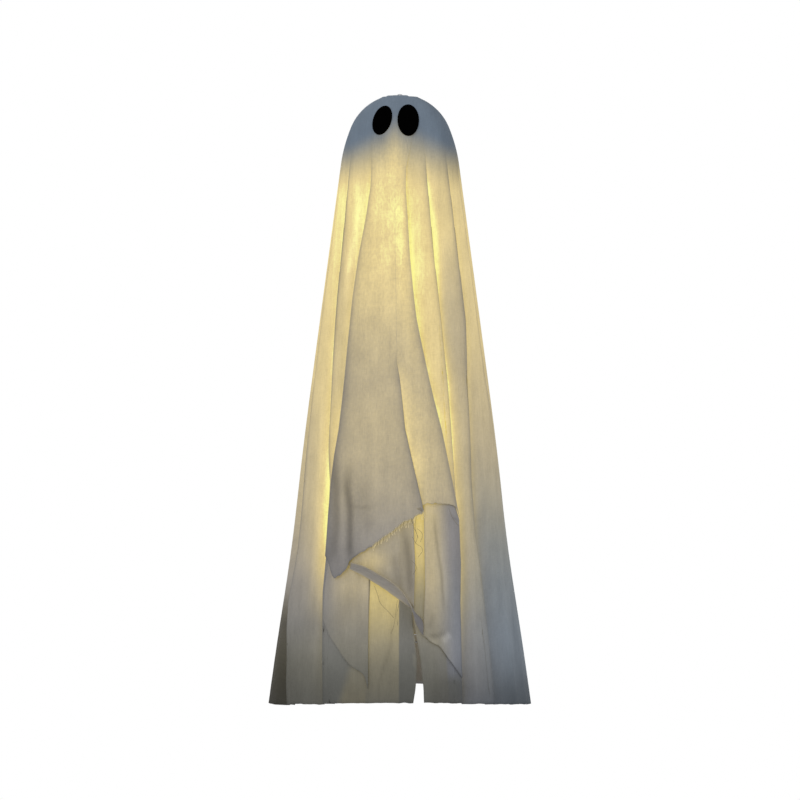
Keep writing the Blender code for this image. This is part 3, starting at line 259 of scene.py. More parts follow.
NO_CHANGE = ((0.0, 1.0), (1.0, 1.0))
PLAIN_RIM_WIDTH = 0.010
PLAIN_HOLLOW_WIDTH = 0.012
# A thin line of painted shade runs along each fold's edge, on its high side.
EDGE_SHADE = 0.52
LEFT_EDGE_SHADE = 0.75
EDGE_SHADE_WIDTH = 0.0027
FOLD_LIGHT_SPAN = (0.075, 0.13)


def fold(line, high, rim=PLAIN_RIM, rim_width=PLAIN_RIM_WIDTH, hollow=PLAIN_HOLLOW,
         hollow_width=PLAIN_HOLLOW_WIDTH, edge_shade=EDGE_SHADE):
    return {"line": line, "high": high, "rim": rim, "rim_width": rim_width, "hollow": hollow,
            "hollow_width": hollow_width, "edge_shade": edge_shade}


main_folds = [fold(FAR_LEFT, 1, FAR_LEFT_RIM, 0.008, FAR_LEFT_HOLLOW, 0.006),
              fold(LEFT, 1, LEFT_RIM, 0.016, LEFT_HOLLOW, 0.014, edge_shade=LEFT_EDGE_SHADE),
              fold(RIGHT, -1, RIGHT_RIM, 0.0055, RIGHT_HOLLOW, 0.016),
              fold(FAR_RIGHT, -1, FAR_RIGHT_RIM, 0.0050, FAR_RIGHT_HOLLOW, 0.008),
              fold(EDGE_RIGHT, -1, EDGE_RIM, 0.006, EDGE_HOLLOW, 0.005),
              fold(BACK_RIGHT, -1), fold(BACK, 1), fold(BACK_LEFT, -1)]
beside_panel = [fold(PANEL_LEFT, 1, PANEL_EDGE_RIM, 0.006, NO_CHANGE, edge_shade=0),
                fold(PANEL_RIGHT, -1, PANEL_EDGE_RIM, 0.007, NO_CHANGE, edge_shade=0)]
panel_sides = [fold(PANEL_LEFT, 1, NO_CHANGE, 0.010, PANEL_LEFT_HOLLOW, 0.014),
               fold(PANEL_RIGHT, -1, NO_CHANGE, 0.010, PANEL_RIGHT_HOLLOW, 0.012)]
panel_parting = fold(PANEL_FOLD, -1, PANEL_FOLD_RIM, 0.014, PANEL_FOLD_HOLLOW, 0.009)


def beside(one, angle, station):
    """Share of the light beside a fold: a bright rim on its low side, a hollow and a thin painted shade line
    on its high side.
    """
    off = wrapped(angle - read_line(one["line"], station))
    away = np.radians(off) * one["high"] * radius_at(station)

    def near(width):
        return np.exp(-np.abs(away) / width)

    rim = 1 + (read_line(one["rim"], station) - 1) * near(one["rim_width"])
    hollow = 1 - (1 - read_line(one["hollow"], station)) * near(one["hollow_width"])
    edge_shade = 1 - one["edge_shade"] * near(EDGE_SHADE_WIDTH)
    return 1 + (np.where(away > 0, hollow * edge_shade, rim) - 1) * smooth(*FOLD_LIGHT_SPAN, station)


def beside_all(folds, angle, station):
    share = np.ones_like(angle)
    for one in folds:
        share = share * beside(one, angle, station)
    return share


print("main folds", len(main_folds))

# %% [markdown]
# Between the folds the light follows a few curves of depth, one for each part of the front. The head
# is closed below, so it stays dark, and the light rises below it: first between the eyes, then at
# the sides. The string ends above the hem, where the glow dies away.

# %% Glow of each part by depth, from 0 to 1
LEFT_LIGHT = ((0.13, 0.80), (0.20, 0.80), (0.31, 0.64), (0.43, 0.55), (0.49, 0.44), (0.55, 0.38),
              (0.61, 0.33), (0.67, 0.22), (0.73, 0.10), (0.79, 0.035), (0.91, 0.01))
INNER_LEFT_LIGHT = ((0.13, 0.82), (0.17, 0.84), (0.20, 0.82), (0.25, 0.74), (0.31, 0.66), (0.43, 0.56),
                    (0.50, 0.72), (0.65, 0.60))
INNER_RIGHT_LIGHT = ((0.13, 0.78), (0.16, 0.86), (0.25, 0.88), (0.31, 0.78), (0.43, 0.66), (0.49, 0.78),
                     (0.55, 0.62), (0.62, 0.50))
RIGHT_LIGHT = ((0.13, 0.66), (0.20, 0.68), (0.25, 0.52), (0.31, 0.40), (0.37, 0.35), (0.49, 0.40),
               (0.61, 0.36), (0.67, 0.26), (0.73, 0.17), (0.79, 0.08), (0.91, 0.01))
FAR_RIGHT_LIGHT = ((0.13, 0.60), (0.20, 0.66), (0.37, 0.56), (0.43, 0.44), (0.55, 0.29), (0.61, 0.20),
                   (0.67, 0.11), (0.73, 0.06), (0.80, 0.03), (0.91, 0.01))
FRONT_LIGHT = ((0.60, 0.70), (0.65, 0.64), (0.70, 0.56), (0.745, 0.55), (0.79, 0.31), (0.82, 0.16),
               (0.85, 0.08), (0.88, 0.05), (0.91, 0.02))
BACK_LIGHT = ((0.13, 0.66), (0.20, 0.74), (0.40, 0.60), (0.60, 0.42), (0.70, 0.22), (0.80, 0.08),
              (0.91, 0.02))
PANEL_LIGHT = ((0.10, 0.84), (0.13, 0.80), (0.16, 0.88), (0.20, 0.84), (0.25, 0.78), (0.31, 0.63),
               (0.37, 0.46), (0.43, 0.37), (0.49, 0.38), (0.55, 0.32), (0.61, 0.22), (0.65, 0.13),
               (0.70, 0.06), (0.74, 0.02))
FLAP_LIGHT = ((0.37, 0.46), (0.43, 0.42), (0.49, 0.44), (0.55, 0.40), (0.61, 0.30))
WINDOW_LEFT_ANGLE = -15.0
WINDOW_RIGHT_ANGLE = -0.5
BAND_RIGHT_ANGLE = 6.4
SPILL_ANGLE = 22
WINDOW_TOP_DEPTH = 0.625
INNER_MIDDLE_ANGLE = -12
LEFT_OF_WINDOW_SHARE = 0.10
BAND_SHARE = 0.12
SPILL_SHARE = 0.35
STRIP_LEAST_SHARE = 0.30
STRIP_SPAN = (0.76, 0.68)
START_FRONT = 0.040
START_SIDE = 0.072
RISE_FRONT = 0.105
RISE_SIDE = 0.078
SIDE_SPAN = (0, 70)
BETWEEN_EYES = 0.013
BETWEEN_EYES_ANGLE = -6
BETWEEN_EYES_SPREAD = 8
LOBE = ((0.84, -22), (0.849, -23), (0.870, -24.2), (0.911, -27.4))
LOBE_GLOW = 0.05
LOBE_BORDER = (-2, 2)
LOBE_SPAN = (0.84, 0.86)
MAIN_GLOW_LIMIT = 0.98
PANEL_GLOW_LIMIT = 0.97
PARTING_SPAN = (0.37, 0.60)
FLAP_TOP_DEPTH = 0.38
FLAP_SPAN = (0.38, 0.43)
RIDGE_GLOW = 0.16
RIDGE_INSET = 6
RIDGE_WIDTH = 5.0
RIDGE_TOP_SPAN = (0.14, 0.20)
RIDGE_END_SPAN = (0.45, 0.36)


def light_start(angle, station):
    """The upper edge of the light: highest between the eyes, lower and sharper at the sides."""
    side = smooth(*SIDE_SPAN, np.abs(wrapped(angle)))
    between_eyes = np.exp(-((angle - BETWEEN_EYES_ANGLE) / BETWEEN_EYES_SPREAD) ** 2)
    start = START_FRONT + (START_SIDE - START_FRONT) * side - BETWEEN_EYES * between_eyes
    rise = RISE_FRONT + (RISE_SIDE - RISE_FRONT) * side
    return smooth(start, start + rise, station)


def main_glow(angle, station):
    """How strongly the main cloth glows. angle and station are arrays."""
    left, right, far_right, back_right, back_left = (
        read_line(line, station) for line in (LEFT, RIGHT, FAR_RIGHT, BACK_RIGHT, BACK_LEFT))
    front = read_line(FRONT_LIGHT, station)
    lobe_border = smooth(*LOBE_BORDER, angle - read_line(LOBE, station))
    lobe = LOBE_GLOW * lobe_border * smooth(*LOBE_SPAN, station)
    strip = front * (STRIP_LEAST_SHARE + (1 - STRIP_LEAST_SHARE) * smooth(*STRIP_SPAN, station))
    parts = [(back_left - 360, left, read_line(LEFT_LIGHT, station), 0),
             (left, INNER_MIDDLE_ANGLE, read_line(INNER_LEFT_LIGHT, station), 0),
             (INNER_MIDDLE_ANGLE, right, read_line(INNER_RIGHT_LIGHT, station), 0),
             (right, far_right, read_line(RIGHT_LIGHT, station), 0),
             (far_right, back_right, read_line(FAR_RIGHT_LIGHT, station), 0),
             (left, WINDOW_LEFT_ANGLE, LEFT_OF_WINDOW_SHARE * front + lobe, WINDOW_TOP_DEPTH),
             (WINDOW_LEFT_ANGLE, WINDOW_RIGHT_ANGLE, front, WINDOW_TOP_DEPTH),
             (WINDOW_RIGHT_ANGLE, BAND_RIGHT_ANGLE, BAND_SHARE * front, WINDOW_TOP_DEPTH),
             (BAND_RIGHT_ANGLE, SPILL_ANGLE, strip, WINDOW_TOP_DEPTH),
             (SPILL_ANGLE, right, SPILL_SHARE * strip, WINDOW_TOP_DEPTH)]
    glow = read_line(BACK_LIGHT, station)
    for low, high, light, top in parts:
        glow = np.where((angle > low) & (angle <= high) & (station > top), light, glow)
    rims = beside_all(main_folds + beside_panel, angle, station)
    return np.minimum(glow * rims, MAIN_GLOW_LIMIT) * light_start(angle, station)


def parting(station):
    return smooth(*PARTING_SPAN, station)


def panel_sides_share(angle, station):
    middle = 1 + (beside(panel_parting, angle, station) - 1) * smooth(*FLAP_SPAN, station)
    return beside_all(panel_sides, angle, station) * middle


def panel_glow(angle, station):
    """How strongly the panel glows: three layers thick, brightest near its right edge."""
    flap = (angle > read_line(PANEL_FOLD, station)) & (station > FLAP_TOP_DEPTH)
    glow = np.where(flap, read_line(FLAP_LIGHT, station), read_line(PANEL_LIGHT, station))
    ridge = np.exp(-((angle - read_line(PANEL_RIGHT, station) + RIDGE_INSET) / RIDGE_WIDTH) ** 2)
    ridge = ridge * smooth(*RIDGE_TOP_SPAN, station) * smooth(*RIDGE_END_SPAN, station)
    glow = glow * (1 + RIDGE_GLOW * ridge) * panel_sides_share(angle, station)
    return np.minimum(glow, PANEL_GLOW_LIMIT) * light_start(angle, station)


print("glow in the middle of the panel", np.round(panel_glow(np.zeros(3), np.array([0.1, 0.25, 0.5])), 2))

# %% [markdown]
# Creases are dents that don't follow a whole fold. They are painted, not shaped: each is a short line
# in the front view, given by points of x and depth, with a width and a share by which painted shade
# darkens the glow and the colour of the cloth. A negative share paints a highlight, a ridge that
# catches the light.

# %% Creases in the front view
FLAP_CREASES = (
    (((-0.0930, 0.500), (-0.0925, 0.560), (-0.0905, 0.600), (-0.0888, 0.640), (-0.0940, 0.685),
      (-0.1060, 0.712)), 0.0075, 0.34),
    (((-0.0700, 0.530), (-0.0740, 0.589), (-0.0700, 0.623), (-0.0698, 0.680), (-0.0620, 0.712)),
     0.0065, 0.44),
    (((-0.0810, 0.560), (-0.0800, 0.640), (-0.0850, 0.700)), 0.0045, -0.05),
    (((-0.0750, 0.615), (-0.0550, 0.6172), (-0.0350, 0.6175)), 0.0028, 0.16),
    (((-0.0520, 0.560), (-0.0480, 0.620), (-0.0400, 0.668)), 0.0110, 0.14),
)
TAIL_CREASES = (
    (((0.0489, 0.616), (0.0525, 0.662), (0.0600, 0.713), (0.0660, 0.796)), 0.0024, 0.28),
    (((0.0525, 0.660), (0.0640, 0.713), (0.0690, 0.770)), 0.0045, -0.10),
    (((0.0720, 0.628), (0.0864, 0.640)), 0.0022, 0.20),
    (((0.0705, 0.800), (0.0555, 0.806), (0.0380, 0.806)), 0.0030, 0.28),
    (((0.0360, 0.818), (0.0555, 0.820)), 0.0055, -0.48),
    (((0.0600, 0.816), (0.0750, 0.802)), 0.0045, -0.44),
    (((0.0600, 0.800), (0.0800, 0.860)), 0.0100, -0.14),
    (((0.0480, 0.770), (0.0420, 0.800)), 0.0045, 0.18),
    (((-0.0100, 0.680), (-0.0050, 0.712), (0.0010, 0.740)), 0.0060, 0.20),
    (((-0.0750, 0.600), (-0.0600, 0.700), (-0.0700, 0.760), (-0.0900, 0.800)), 0.0120, 0.10),
    (((0.0060, 0.640), (0.0130, 0.700), (0.0160, 0.760)), 0.0060, 0.34),
)
MAIN_CREASES = (
    (((-0.0645, 0.105), (-0.0600, 0.165), (-0.0640, 0.195), (-0.0690, 0.230), (-0.0780, 0.272),
      (-0.0850, 0.325)), 0.0060, -0.20),
    (((-0.0090, 0.779), (-0.0150, 0.827), (-0.0276, 0.863), (-0.0360, 0.911)), 0.0026, 0.14),
    (((0.0585, 0.868), (0.0900, 0.880), (0.1170, 0.885)), 0.0060, 0.06),
    (((-0.1230, 0.700), (-0.1290, 0.820), (-0.1300, 0.905)), 0.0040, -0.06),
    (((0.1470, 0.640), (0.1560, 0.760), (0.1500, 0.900)), 0.0110, -0.07),
    (((0.1680, 0.690), (0.1740, 0.800), (0.1860, 0.905)), 0.0050, 0.07),
)
CREASE_TAPER = 0.3


def creased(creases, angle, station):
    """Share of the light that the creases leave, as painted shade or highlight. They fade towards both ends.
    """
    x = radius_at(station) * np.sin(np.radians(angle))
    front = np.cos(np.radians(angle)) > 0
    share = np.ones_like(x)
    for points, width, dark in creases:
        nearest = np.full_like(x, 1.0)
        along = np.zeros_like(x)
        for number, ((xa, da), (xb, db)) in enumerate(zip(points, points[1:])):
            run = (xb - xa) ** 2 + (db - da) ** 2
            t = np.clip(((x - xa) * (xb - xa) + (station - da) * (db - da)) / run, 0, 1)
            away = np.hypot(x - xa - t * (xb - xa), station - da - t * (db - da))
            along = np.where(away < nearest, (number + t) / (len(points) - 1), along)
            nearest = np.minimum(nearest, away)
        tapered = smooth(0, CREASE_TAPER, along) * smooth(1, 1 - CREASE_TAPER, along)
        share = share * (1 - dark * front * tapered * np.exp(-(nearest / width) ** 2))
    return share


def with_creases(glow, creases):
    def creased_glow(angle, station):
        return glow(angle, station) * creased(creases, angle, station)
    return creased_glow


print("creases", len(FLAP_CREASES) + len(TAIL_CREASES) + len(MAIN_CREASES))

# %% [markdown]
# Muslin never hangs in flat strips, so a soft ripple runs down all the layers alike. It is a sum of
# a few long waves that grow towards the hem, which keeps the layers clear of each other. Inwards it
# is held back, because the lamps have little room there. At the sides it is calm, as the outline is.

# %% Ripples and the low side of each fold
RIPPLE_WAVES = ((17, 0.4, 4.2), (29, 1.9, 7.4), (41, 4.4, 10.4))
RIPPLE_SIZE = 0.0010
RIPPLE_INWARD_SHARE = 0.25
RIPPLE_SPAN = (0.12, 0.75)
CALM_SHARE = 0.80
CALM_FROM_FRONT = (70, 88)
CALM_FROM_BACK = (112, 94)
FOLD_RAMP_ANGLE = 11
PLY_SHARES = ((crown_stations[3], 1.0), (crown_stations[6], 0.40), (0.045, 0.40), (0.110, 1.0))


def ripple(angle, station):
    turn = np.radians(angle)
    total = np.zeros_like(turn)
    for waves, phase, drift in RIPPLE_WAVES:
        total = total + np.sin(waves * turn + phase + drift * station)
    total = np.where(total < 0, total * RIPPLE_INWARD_SHARE, total)
    side = np.abs(wrapped(angle))
    calm = 1 - CALM_SHARE * smooth(*CALM_FROM_FRONT, side) * smooth(*CALM_FROM_BACK, side)
    return RIPPLE_SIZE * total * smooth(*RIPPLE_SPAN, station) * calm


def fold_depth(station):
    return FOLD_STEP * smooth(FOLD_START_DEPTH, FOLD_FULL_DEPTH, station)


def low_side(angle, station):
    """How far the cloth lies back beside a fold, rising to nothing over the ramp's angle."""
    back = np.zeros_like(angle)
    for one in main_folds:
        off = wrapped(read_line(one["line"], station) - angle) * one["high"]
        back = np.maximum(back, np.where(off >= 0, 1 - smooth(0, FOLD_RAMP_ANGLE, off), 0))
    return -fold_depth(station) * back


def ply_share(station):
    """Plies lie closest on the dome of the head, further apart in the crown's well and below."""
    return read_line(PLY_SHARES, station)


print("ripple at the hem", round(float(np.ptp(ripple(np.arange(-60, 60, 1.0), np.full(120, 0.9)))), 4), "m")

# %% [markdown]
# A sheet is a grid. Its columns follow the fold lines, so that a fold stays crisp however coarse the
# rest is, and its rows run round the ghost. Below a certain row they stretch to end on the hem. A
# column knows its line, how far beside it the column lies, how far it is tucked under where the fold
# is full, and how low it sinks there. Columns in between take their place from both neighbours. The
# table of a knife fold gives each column's shift in degrees, shares of the tuck and the sink, and
# the shift at which its light is read.

# %% Columns of cloth
TUCK_ANGLE = 5.5
GROWTH_SPAN = (0.10, 0.50)
KNIFE_COLUMNS = ((-0.36, 0, 1, -0.3), (-0.26, 0.5, 0.92, 0.1), (-0.16, 1, 0.74, 0.1),
                 (-0.08, 1.04, 0.55, 0.1), (0.00, 0.5, 0.40, 0.1), (0.07, 0, 0.24, 0.1),
                 (0.14, 0, 0.10, 0.1), (0.40, 0, 0, 0.4))
BACK_ANGLE = 95
BACK_STEPS = 2.2
FILL_DEPTH = 0.86


def column(line, shift=0.0, tuck=0.0, sink=0.0, light=None, grow=None):
    return {"line": line, "shift": shift, "tuck": tuck, "sink": sink, "grow": grow,
            "light": shift if light is None else light, "left": None}


def between(left, right, share):
    return {"left": left, "right": right, "share": share}


def column_value(one, own):
    """What a column's own function gives, or a share of the way between both neighbours."""
    if one["left"] is None:
        return own(one)
    start = column_value(one["left"], own)
    return start + (column_value(one["right"], own) - start) * one["share"]


def column_angle(one, station):
    def own(single):
        tuck = single["tuck"] * single["grow"](station) if single["grow"] else 0
        return read_line(single["line"], station) + single["shift"] + tuck
    return column_value(one, own)


def column_sink(one):
    return column_value(one, lambda single: single["sink"])


def fold_growth(station):
    return smooth(*GROWTH_SPAN, station)


def knife_fold(one):
    """Columns of an S fold: along its foot, back under itself, and over its edge to the high side."""
    high = one["high"]
    order = [column(one["line"], shift * high, tuck * TUCK_ANGLE * high, sink, light * high, fold_growth)
             for shift, tuck, sink, light in KNIFE_COLUMNS]
    return order if high > 0 else order[::-1]


def filled(order, widest, at=FILL_DEPTH):
    """Add columns where two neighbours are further apart than the widest step, in degrees."""
    result = []
    angles = [float(column_angle(one, np.array([at]))[0]) for one in order]
    for one, after, start, end in zip(order, order[1:], angles, angles[1:]):
        step = widest if abs(start + end) / 2 < BACK_ANGLE else widest * BACK_STEPS
        extra = int((end - start) / step)
        result.append(one)
        result += [between(one, after, (k + 1) / (extra + 1)) for k in range(extra)]
    return result + [order[-1]]


def place_of(one, order):
    return next(index for index, other in enumerate(order) if other is one)


print("columns of one fold", len(knife_fold(main_folds[0])))

# %% [markdown]
# The mesher places every point of a ply, leaves out the faces across a slit, and keeps the glow, the
# depth and the angle at every vertex for the finish to read. Torn hems get a little noise. Turned
# and torn edges are thick, so less light comes through them.

# %% Mesh a ply of cloth
BALL_ROWS = 14
FRAY_PITCH = 0.37
FRAY_PLY_PITCH = 9.1
FRAY_OFFSET = 0.5
HEM_TRIES = 8
EDGE_LIGHT = 0.70
SEWN_END = 0.10
FREE_START = 0.16
SEWN_ANGLE = 5
SEWN_SHARE = 0.15
NO_STAND = ((0, 0.0),)


def cloth_rows(last, row):
    first, leave = (acos(1 - depth / HEAD_RADIUS) for depth in (FIRST_BALL_DEPTH, HEAD_LEAVE_DEPTH))
    ball = [HEAD_RADIUS * (1 - cos(first + (leave - first) * i / BALL_ROWS)) for i in range(BALL_ROWS)]
    below = np.linspace(HEAD_LEAVE_DEPTH, last, int((last - HEAD_LEAVE_DEPTH) / row))
    return np.array([*crown_stations, *ball, *below])


def grid_faces(rows, count):
    """Faces between the points of a grid, which are counted row by row."""
    firsts = [r * count + c for r in range(rows - 1) for c in range(count - 1)]
    return [(a, a + count, a + count + 1, a + 1) for a in firsts]


def hem_end(one, index, hem, guess):
    """Depth at which a column meets the hem: both lean, so it is found in a few tries."""
    end = guess
    for _ in range(HEM_TRIES):
        end = (end + hem(float(column_angle(one, np.array([end]))[0]), index)) / 2
    return end


def drape(rows, columns, split, hem, ply, glow, cut=None, stand=NO_STAND, fray=0.0,
          sink_share=fold_depth):
    """One ply as a grid. A stand is given by stops of angle and of how far the ply stands off."""
    count = len(columns)
    station = np.repeat(rows[:, None], count, axis=1)
    below = rows > split
    for index, one in enumerate(columns):
        end = hem_end(one, index, hem, rows[-1])
        end += fray * noise.noise(Vector((index * FRAY_PITCH, ply * FRAY_PLY_PITCH, FRAY_OFFSET)))
        station[below, index] = split + (end - split) * (rows[below] - split) / (rows[-1] - split)
    angle = np.empty_like(station)
    light_angle = np.empty_like(station)
    lift = np.empty_like(station)
    light = np.ones_like(station)
    free = smooth(SEWN_END, FREE_START, station)
    for index, one in enumerate(columns):
        here = station[:, index]
        own = one["left"] is None
        folded = own and one["grow"]
        angle[:, index] = column_angle(one, here)
        light_angle[:, index] = read_line(one["line"], here) + one["light"] if own else angle[:, index]
        if ply == 0 and not folded:
            lift[:, index] = low_side(angle[:, index], here)
        else:
            lift[:, index] = -sink_share(here) * column_sink(one)
        turned = folded and 0 < one["sink"] < 1
        border = ply > 0 and index in (0, count - 1)
        if turned or border:
            light[:, index] = 1 - (1 - EDGE_LIGHT) * free[:, index]
    light[-1] = EDGE_LIGHT
    inward = np.minimum(angle - angle[:, :1], angle[:, -1:] - angle)
    sewn = (1 - free) * (1 - SEWN_SHARE) * (1 - smooth(0, SEWN_ANGLE, inward))
    lift = lift + PLY_STEP * ply * ply_share(station) * (1 - sewn) + ripple(angle, station)
    lift = lift + read_line(stand, angle) * smooth(FOLD_START_DEPTH, FOLD_FULL_DEPTH, station)
    radius, height = on_profile(station, lift)
    turn = np.radians(angle)
    points = np.stack([radius * np.sin(turn), -radius * np.cos(turn), height], axis=-1).reshape(-1, 3)
    faces = [face for face in grid_faces(len(rows), count)
             if not (cut and face[0] % count == cut[0] and rows[face[0] // count] >= cut[1])]
    light_angle = wrapped(light_angle)
    light = light * glow(light_angle, station)
    return {"points": points, "faces": faces, "glow": light.reshape(-1),
            "across": (turn * radius).reshape(-1), "angle": light_angle.reshape(-1),
            "station": station.reshape(-1)}


# %% [markdown]
# Several grids can make one sheet, such as a panel and its tails. They are put together in one mesh.
# Solidify then gives the cloth its thickness, inwards. Every piece that this script makes rides on
# the root body and is given a slot.

# %% Turn grids into a cloth object


def add_piece(name, data, finish):
    """Put a mesh or a curve into the scene as a piece of the ghost."""
    data.materials.append(finish)
    made = bpy.data.objects.new(name, data)
    bpy.context.collection.objects.link(made)
    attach(made, "root")
    return made


def cloth_object(name, grids, finish, tone):
    faces = []
    offset = 0
    for grid in grids:
        faces += [tuple(v + offset for v in face) for face in grid["faces"]]
        offset += len(grid["points"])
    points, angle, station, glow, across = (np.concatenate([grid[key] for grid in grids])
                                            for key in ("points", "angle", "station", "glow", "across"))
    mesh = bpy.data.meshes.new(name)
    mesh.from_pydata(points.tolist(), [], faces)
    values = {"glow": glow, "across": across, "down": station, **tone(angle, station)}
    for label, numbers in values.items():
        layer = mesh.attributes.new(label, 'FLOAT', 'POINT')
        layer.data.foreach_set("value", numbers.astype(np.float32))
    mesh.shade_smooth()
    made = add_piece(name, mesh, finish)
    thicken = made.modifiers.new("Thickness", 'SOLIDIFY')
    thicken.thickness = CLOTH_THICKNESS
    thicken.offset = -1
    return made


# %% [markdown]
# Away from the lamps the muslin's colour is painted with the daylight and shade that fall on it. The
# head is painted blue-grey, the middle of the body warmer, the right side blue again and the hem dark
# in painted shade. Three more numbers per vertex say so: tint from blue to grey, warm from grey to the
# browner tone painted low in front, and shade, which also paints shade into the hollows of the folds
# and the creases. Each area of the cloth has soft borders, given by spans of angle and a span of depth.

# %% Tones of the unlit cloth
RIGHT_SIDE = (28, 60)
ROUND_THE_BACK = (170, 110)
TONE_AREAS = {
    "hem": ((), (0.80, 0.912)),
    "right half": (((14, 26), ROUND_THE_BACK), (0.66, 0.76)),
    "right side": ((RIGHT_SIDE, ROUND_THE_BACK), (0.50, 0.68)),
    "right corner": ((RIGHT_SIDE, ROUND_THE_BACK), (0.850, 0.912)),
    "right of the head": (((30, 75), ROUND_THE_BACK), (0.16, 0.10)),
    "front": (((26, 16), (-175, -110)), (0.70, 0.86)),
    "left side": (((-44, -54), (-165, -100)), (0.76, 0.86)),
    "left corner": (((-130, -85),), (0.725, 0.790)),
}
# Painted cool daylight makes the right side bluer. Painted shade darkens the hem, the left corner, a patch
# low on the right that is also painted warmer, the left side, the right corner, the right of the head and
# the band beside the window.
BLUER = (("right side", 0.80), ("right half", 0.35))
DARKER = (("hem", 0.42), ("left corner", 0.62), ("patch", 0.20), ("left side", 0.14), ("right corner", 0.27),
          ("right of the head", 0.28), ("band", 0.12))
PATCH_ANGLE = 21.5
PATCH_SPREAD = 8.5
PATCH_TOP_DEPTH = 0.878
PATCH_FADE = 0.014
PATCH_WARMTH = 0.8
BAND_TOP_DEPTH = 0.60
HOLLOW_LEAST_SHARE = 0.65
PANEL_WARMTH = 0.05
PANEL_WARM_SPAN = (0.4, 0.6)
PANEL_HEM_DARK = 0.18
PANEL_HEM_SPAN = (0.66, 0.72)


def area_share(angle, station, angle_spans, depth_span):
    share = smooth(*depth_span, station)
    for span in angle_spans:
        share = share * smooth(*span, angle)
    return share


def less(share, losses, areas):
    for name, loss in losses:
        share = share * (1 - loss * areas[name])
    return share


def hollow_shade(share):
    return HOLLOW_LEAST_SHARE + (1 - HOLLOW_LEAST_SHARE) * np.minimum(share, 1)


def dusk_tone(creases, window_warmth):
    def tone(angle, station):
        window = (angle > WINDOW_LEFT_ANGLE) & (angle < SPILL_ANGLE) & (station > WINDOW_TOP_DEPTH)
        areas = {name: area_share(angle, station, *spans) for name, spans in TONE_AREAS.items()}
        areas["left corner"] = areas["left corner"] * (angle < read_line(FAR_LEFT, station))
        areas["patch"] = np.exp(-((angle - PATCH_ANGLE) / PATCH_SPREAD) ** 4
                                - np.maximum((PATCH_TOP_DEPTH - station) / PATCH_FADE, 0) ** 2)
        areas["band"] = ((angle > WINDOW_RIGHT_ANGLE) & (angle < BAND_RIGHT_ANGLE)
                         & (station > BAND_TOP_DEPTH))
        hollows = hollow_shade(beside_all(main_folds, angle, station))
        warm = np.maximum(PATCH_WARMTH * areas["patch"], window_warmth * window)
        return {"tint": less(light_start(angle, station), BLUER, areas),
                "warm": np.maximum(areas["front"], warm),
                "shade": less(hollows * creased(creases, angle, station), DARKER, areas)}
    return tone


# The panel's painted shade darkens the hollows beside its edges and its parting fold, its creases, and more
# and more towards its hem; lower down it is painted a little warmer.
def panel_tone(angle, station):
    shade = hollow_shade(panel_sides_share(angle, station)) * creased(FLAP_CREASES, angle, station)
    return {"tint": light_start(angle, station), "warm": PANEL_WARMTH * smooth(*PANEL_WARM_SPAN, station),
            "shade": shade * (1 - PANEL_HEM_DARK * smooth(*PANEL_HEM_SPAN, station))}


# %% [markdown]
# Finishes are node graphs. To read like sums, a small class wraps an output socket: adding or
# multiplying two of them adds a Math node. Every other node comes from one method, which takes its
# type, its settings and what feeds its sockets.

# %% A small language for node graphs


class Value:
    """An output socket that can be added, multiplied and so on in Python."""

    def __init__(self, finish, socket):
        self.finish = finish
        self.socket = socket

    def math(self, operation, first, second=0.0):
        return self.finish.node('ShaderNodeMath', {'operation': operation}, {0: first, 1: second})

    def __add__(self, other):
        return self.math('ADD', self, other)

    def __radd__(self, other):
        return self.math('ADD', other, self)

    def __sub__(self, other):
        return self.math('SUBTRACT', self, other)

    def __rsub__(self, other):
        return self.math('SUBTRACT', other, self)

    def __mul__(self, other):
        return self.math('MULTIPLY', self, other)

    def __rmul__(self, other):
        return self.math('MULTIPLY', other, self)

    def sine(self):
        return self.math('SINE', self)

    def clamped(self, low, high):
        return self.math('MINIMUM', self.math('MAXIMUM', self, low), high)

    def stretched(self, low, high):
        """0 at the low value, 1 at the high one and smooth in between."""
        return self.finish.node('ShaderNodeMapRange', {'interpolation_type': 'SMOOTHSTEP'},
                                {'Value': self, 'From Min': low, 'From Max': high})


class Finish:
    """One material, with its Principled shader and a way to add nodes to it."""

    def __init__(self, name, roughness, metallic=0.0, specular=0.5):
        self.material = bpy.data.materials.new(name)
        self.material.use_nodes = True
        self.tree = self.material.node_tree
        self.shader = self.tree.nodes["Principled BSDF"]
        self.shader.inputs["Roughness"].default_value = roughness
        self.shader.inputs["Metallic"].default_value = metallic
        self.shader.inputs["Specular IOR Level"].default_value = specular

    def node(self, kind, settings=None, inputs=None, output=0):
        made = self.tree.nodes.new(kind)
        for key, value in (settings or {}).items():
            setattr(made, key, value)
        for key, value in (inputs or {}).items():
            self.feed(made.inputs[key], value)
        return Value(self, made.outputs[output])

    def feed(self, socket, value):
        if isinstance(value, Value):
            self.tree.links.new(value.socket, socket)
        elif isinstance(value, tuple) and socket.type == 'RGBA':
            socket.default_value = (*value, 1)
        else:
            socket.default_value = value

    def shade(self, name, value):
        self.feed(self.shader.inputs[name], value)

    def attribute(self, name):
        return self.node('ShaderNodeAttribute', {'attribute_name': name}, output='Fac')

    def place(self):
        """The point on the piece, in metres."""
        return self.node('ShaderNodeTexCoord', output='Object')

    def scaled_place(self, place, scale):
        return self.node('ShaderNodeVectorMath', {'operation': 'MULTIPLY'}, {0: place, 1: scale})

    def mottle(self, place, scale, detail=2.0, roughness=0.5):
        return self.node('ShaderNodeTexNoise', {}, {'Vector': place, 'Scale': scale, 'Detail': detail,
                                                    'Roughness': roughness})

    def blend(self, share, first, second):
        return self.node('ShaderNodeMix', {'data_type': 'RGBA'}, {0: share, 6: first, 7: second}, output=2)

    def scaled(self, colour, value):
        return self.node('ShaderNodeVectorMath', {'operation': 'SCALE'}, {0: colour, 'Scale': value})

    def bumped(self, height, distance, strength=1.0):
        return self.node('ShaderNodeBump', {}, {'Height': height, 'Distance': distance,
                                                'Strength': strength})


print("operators ready")
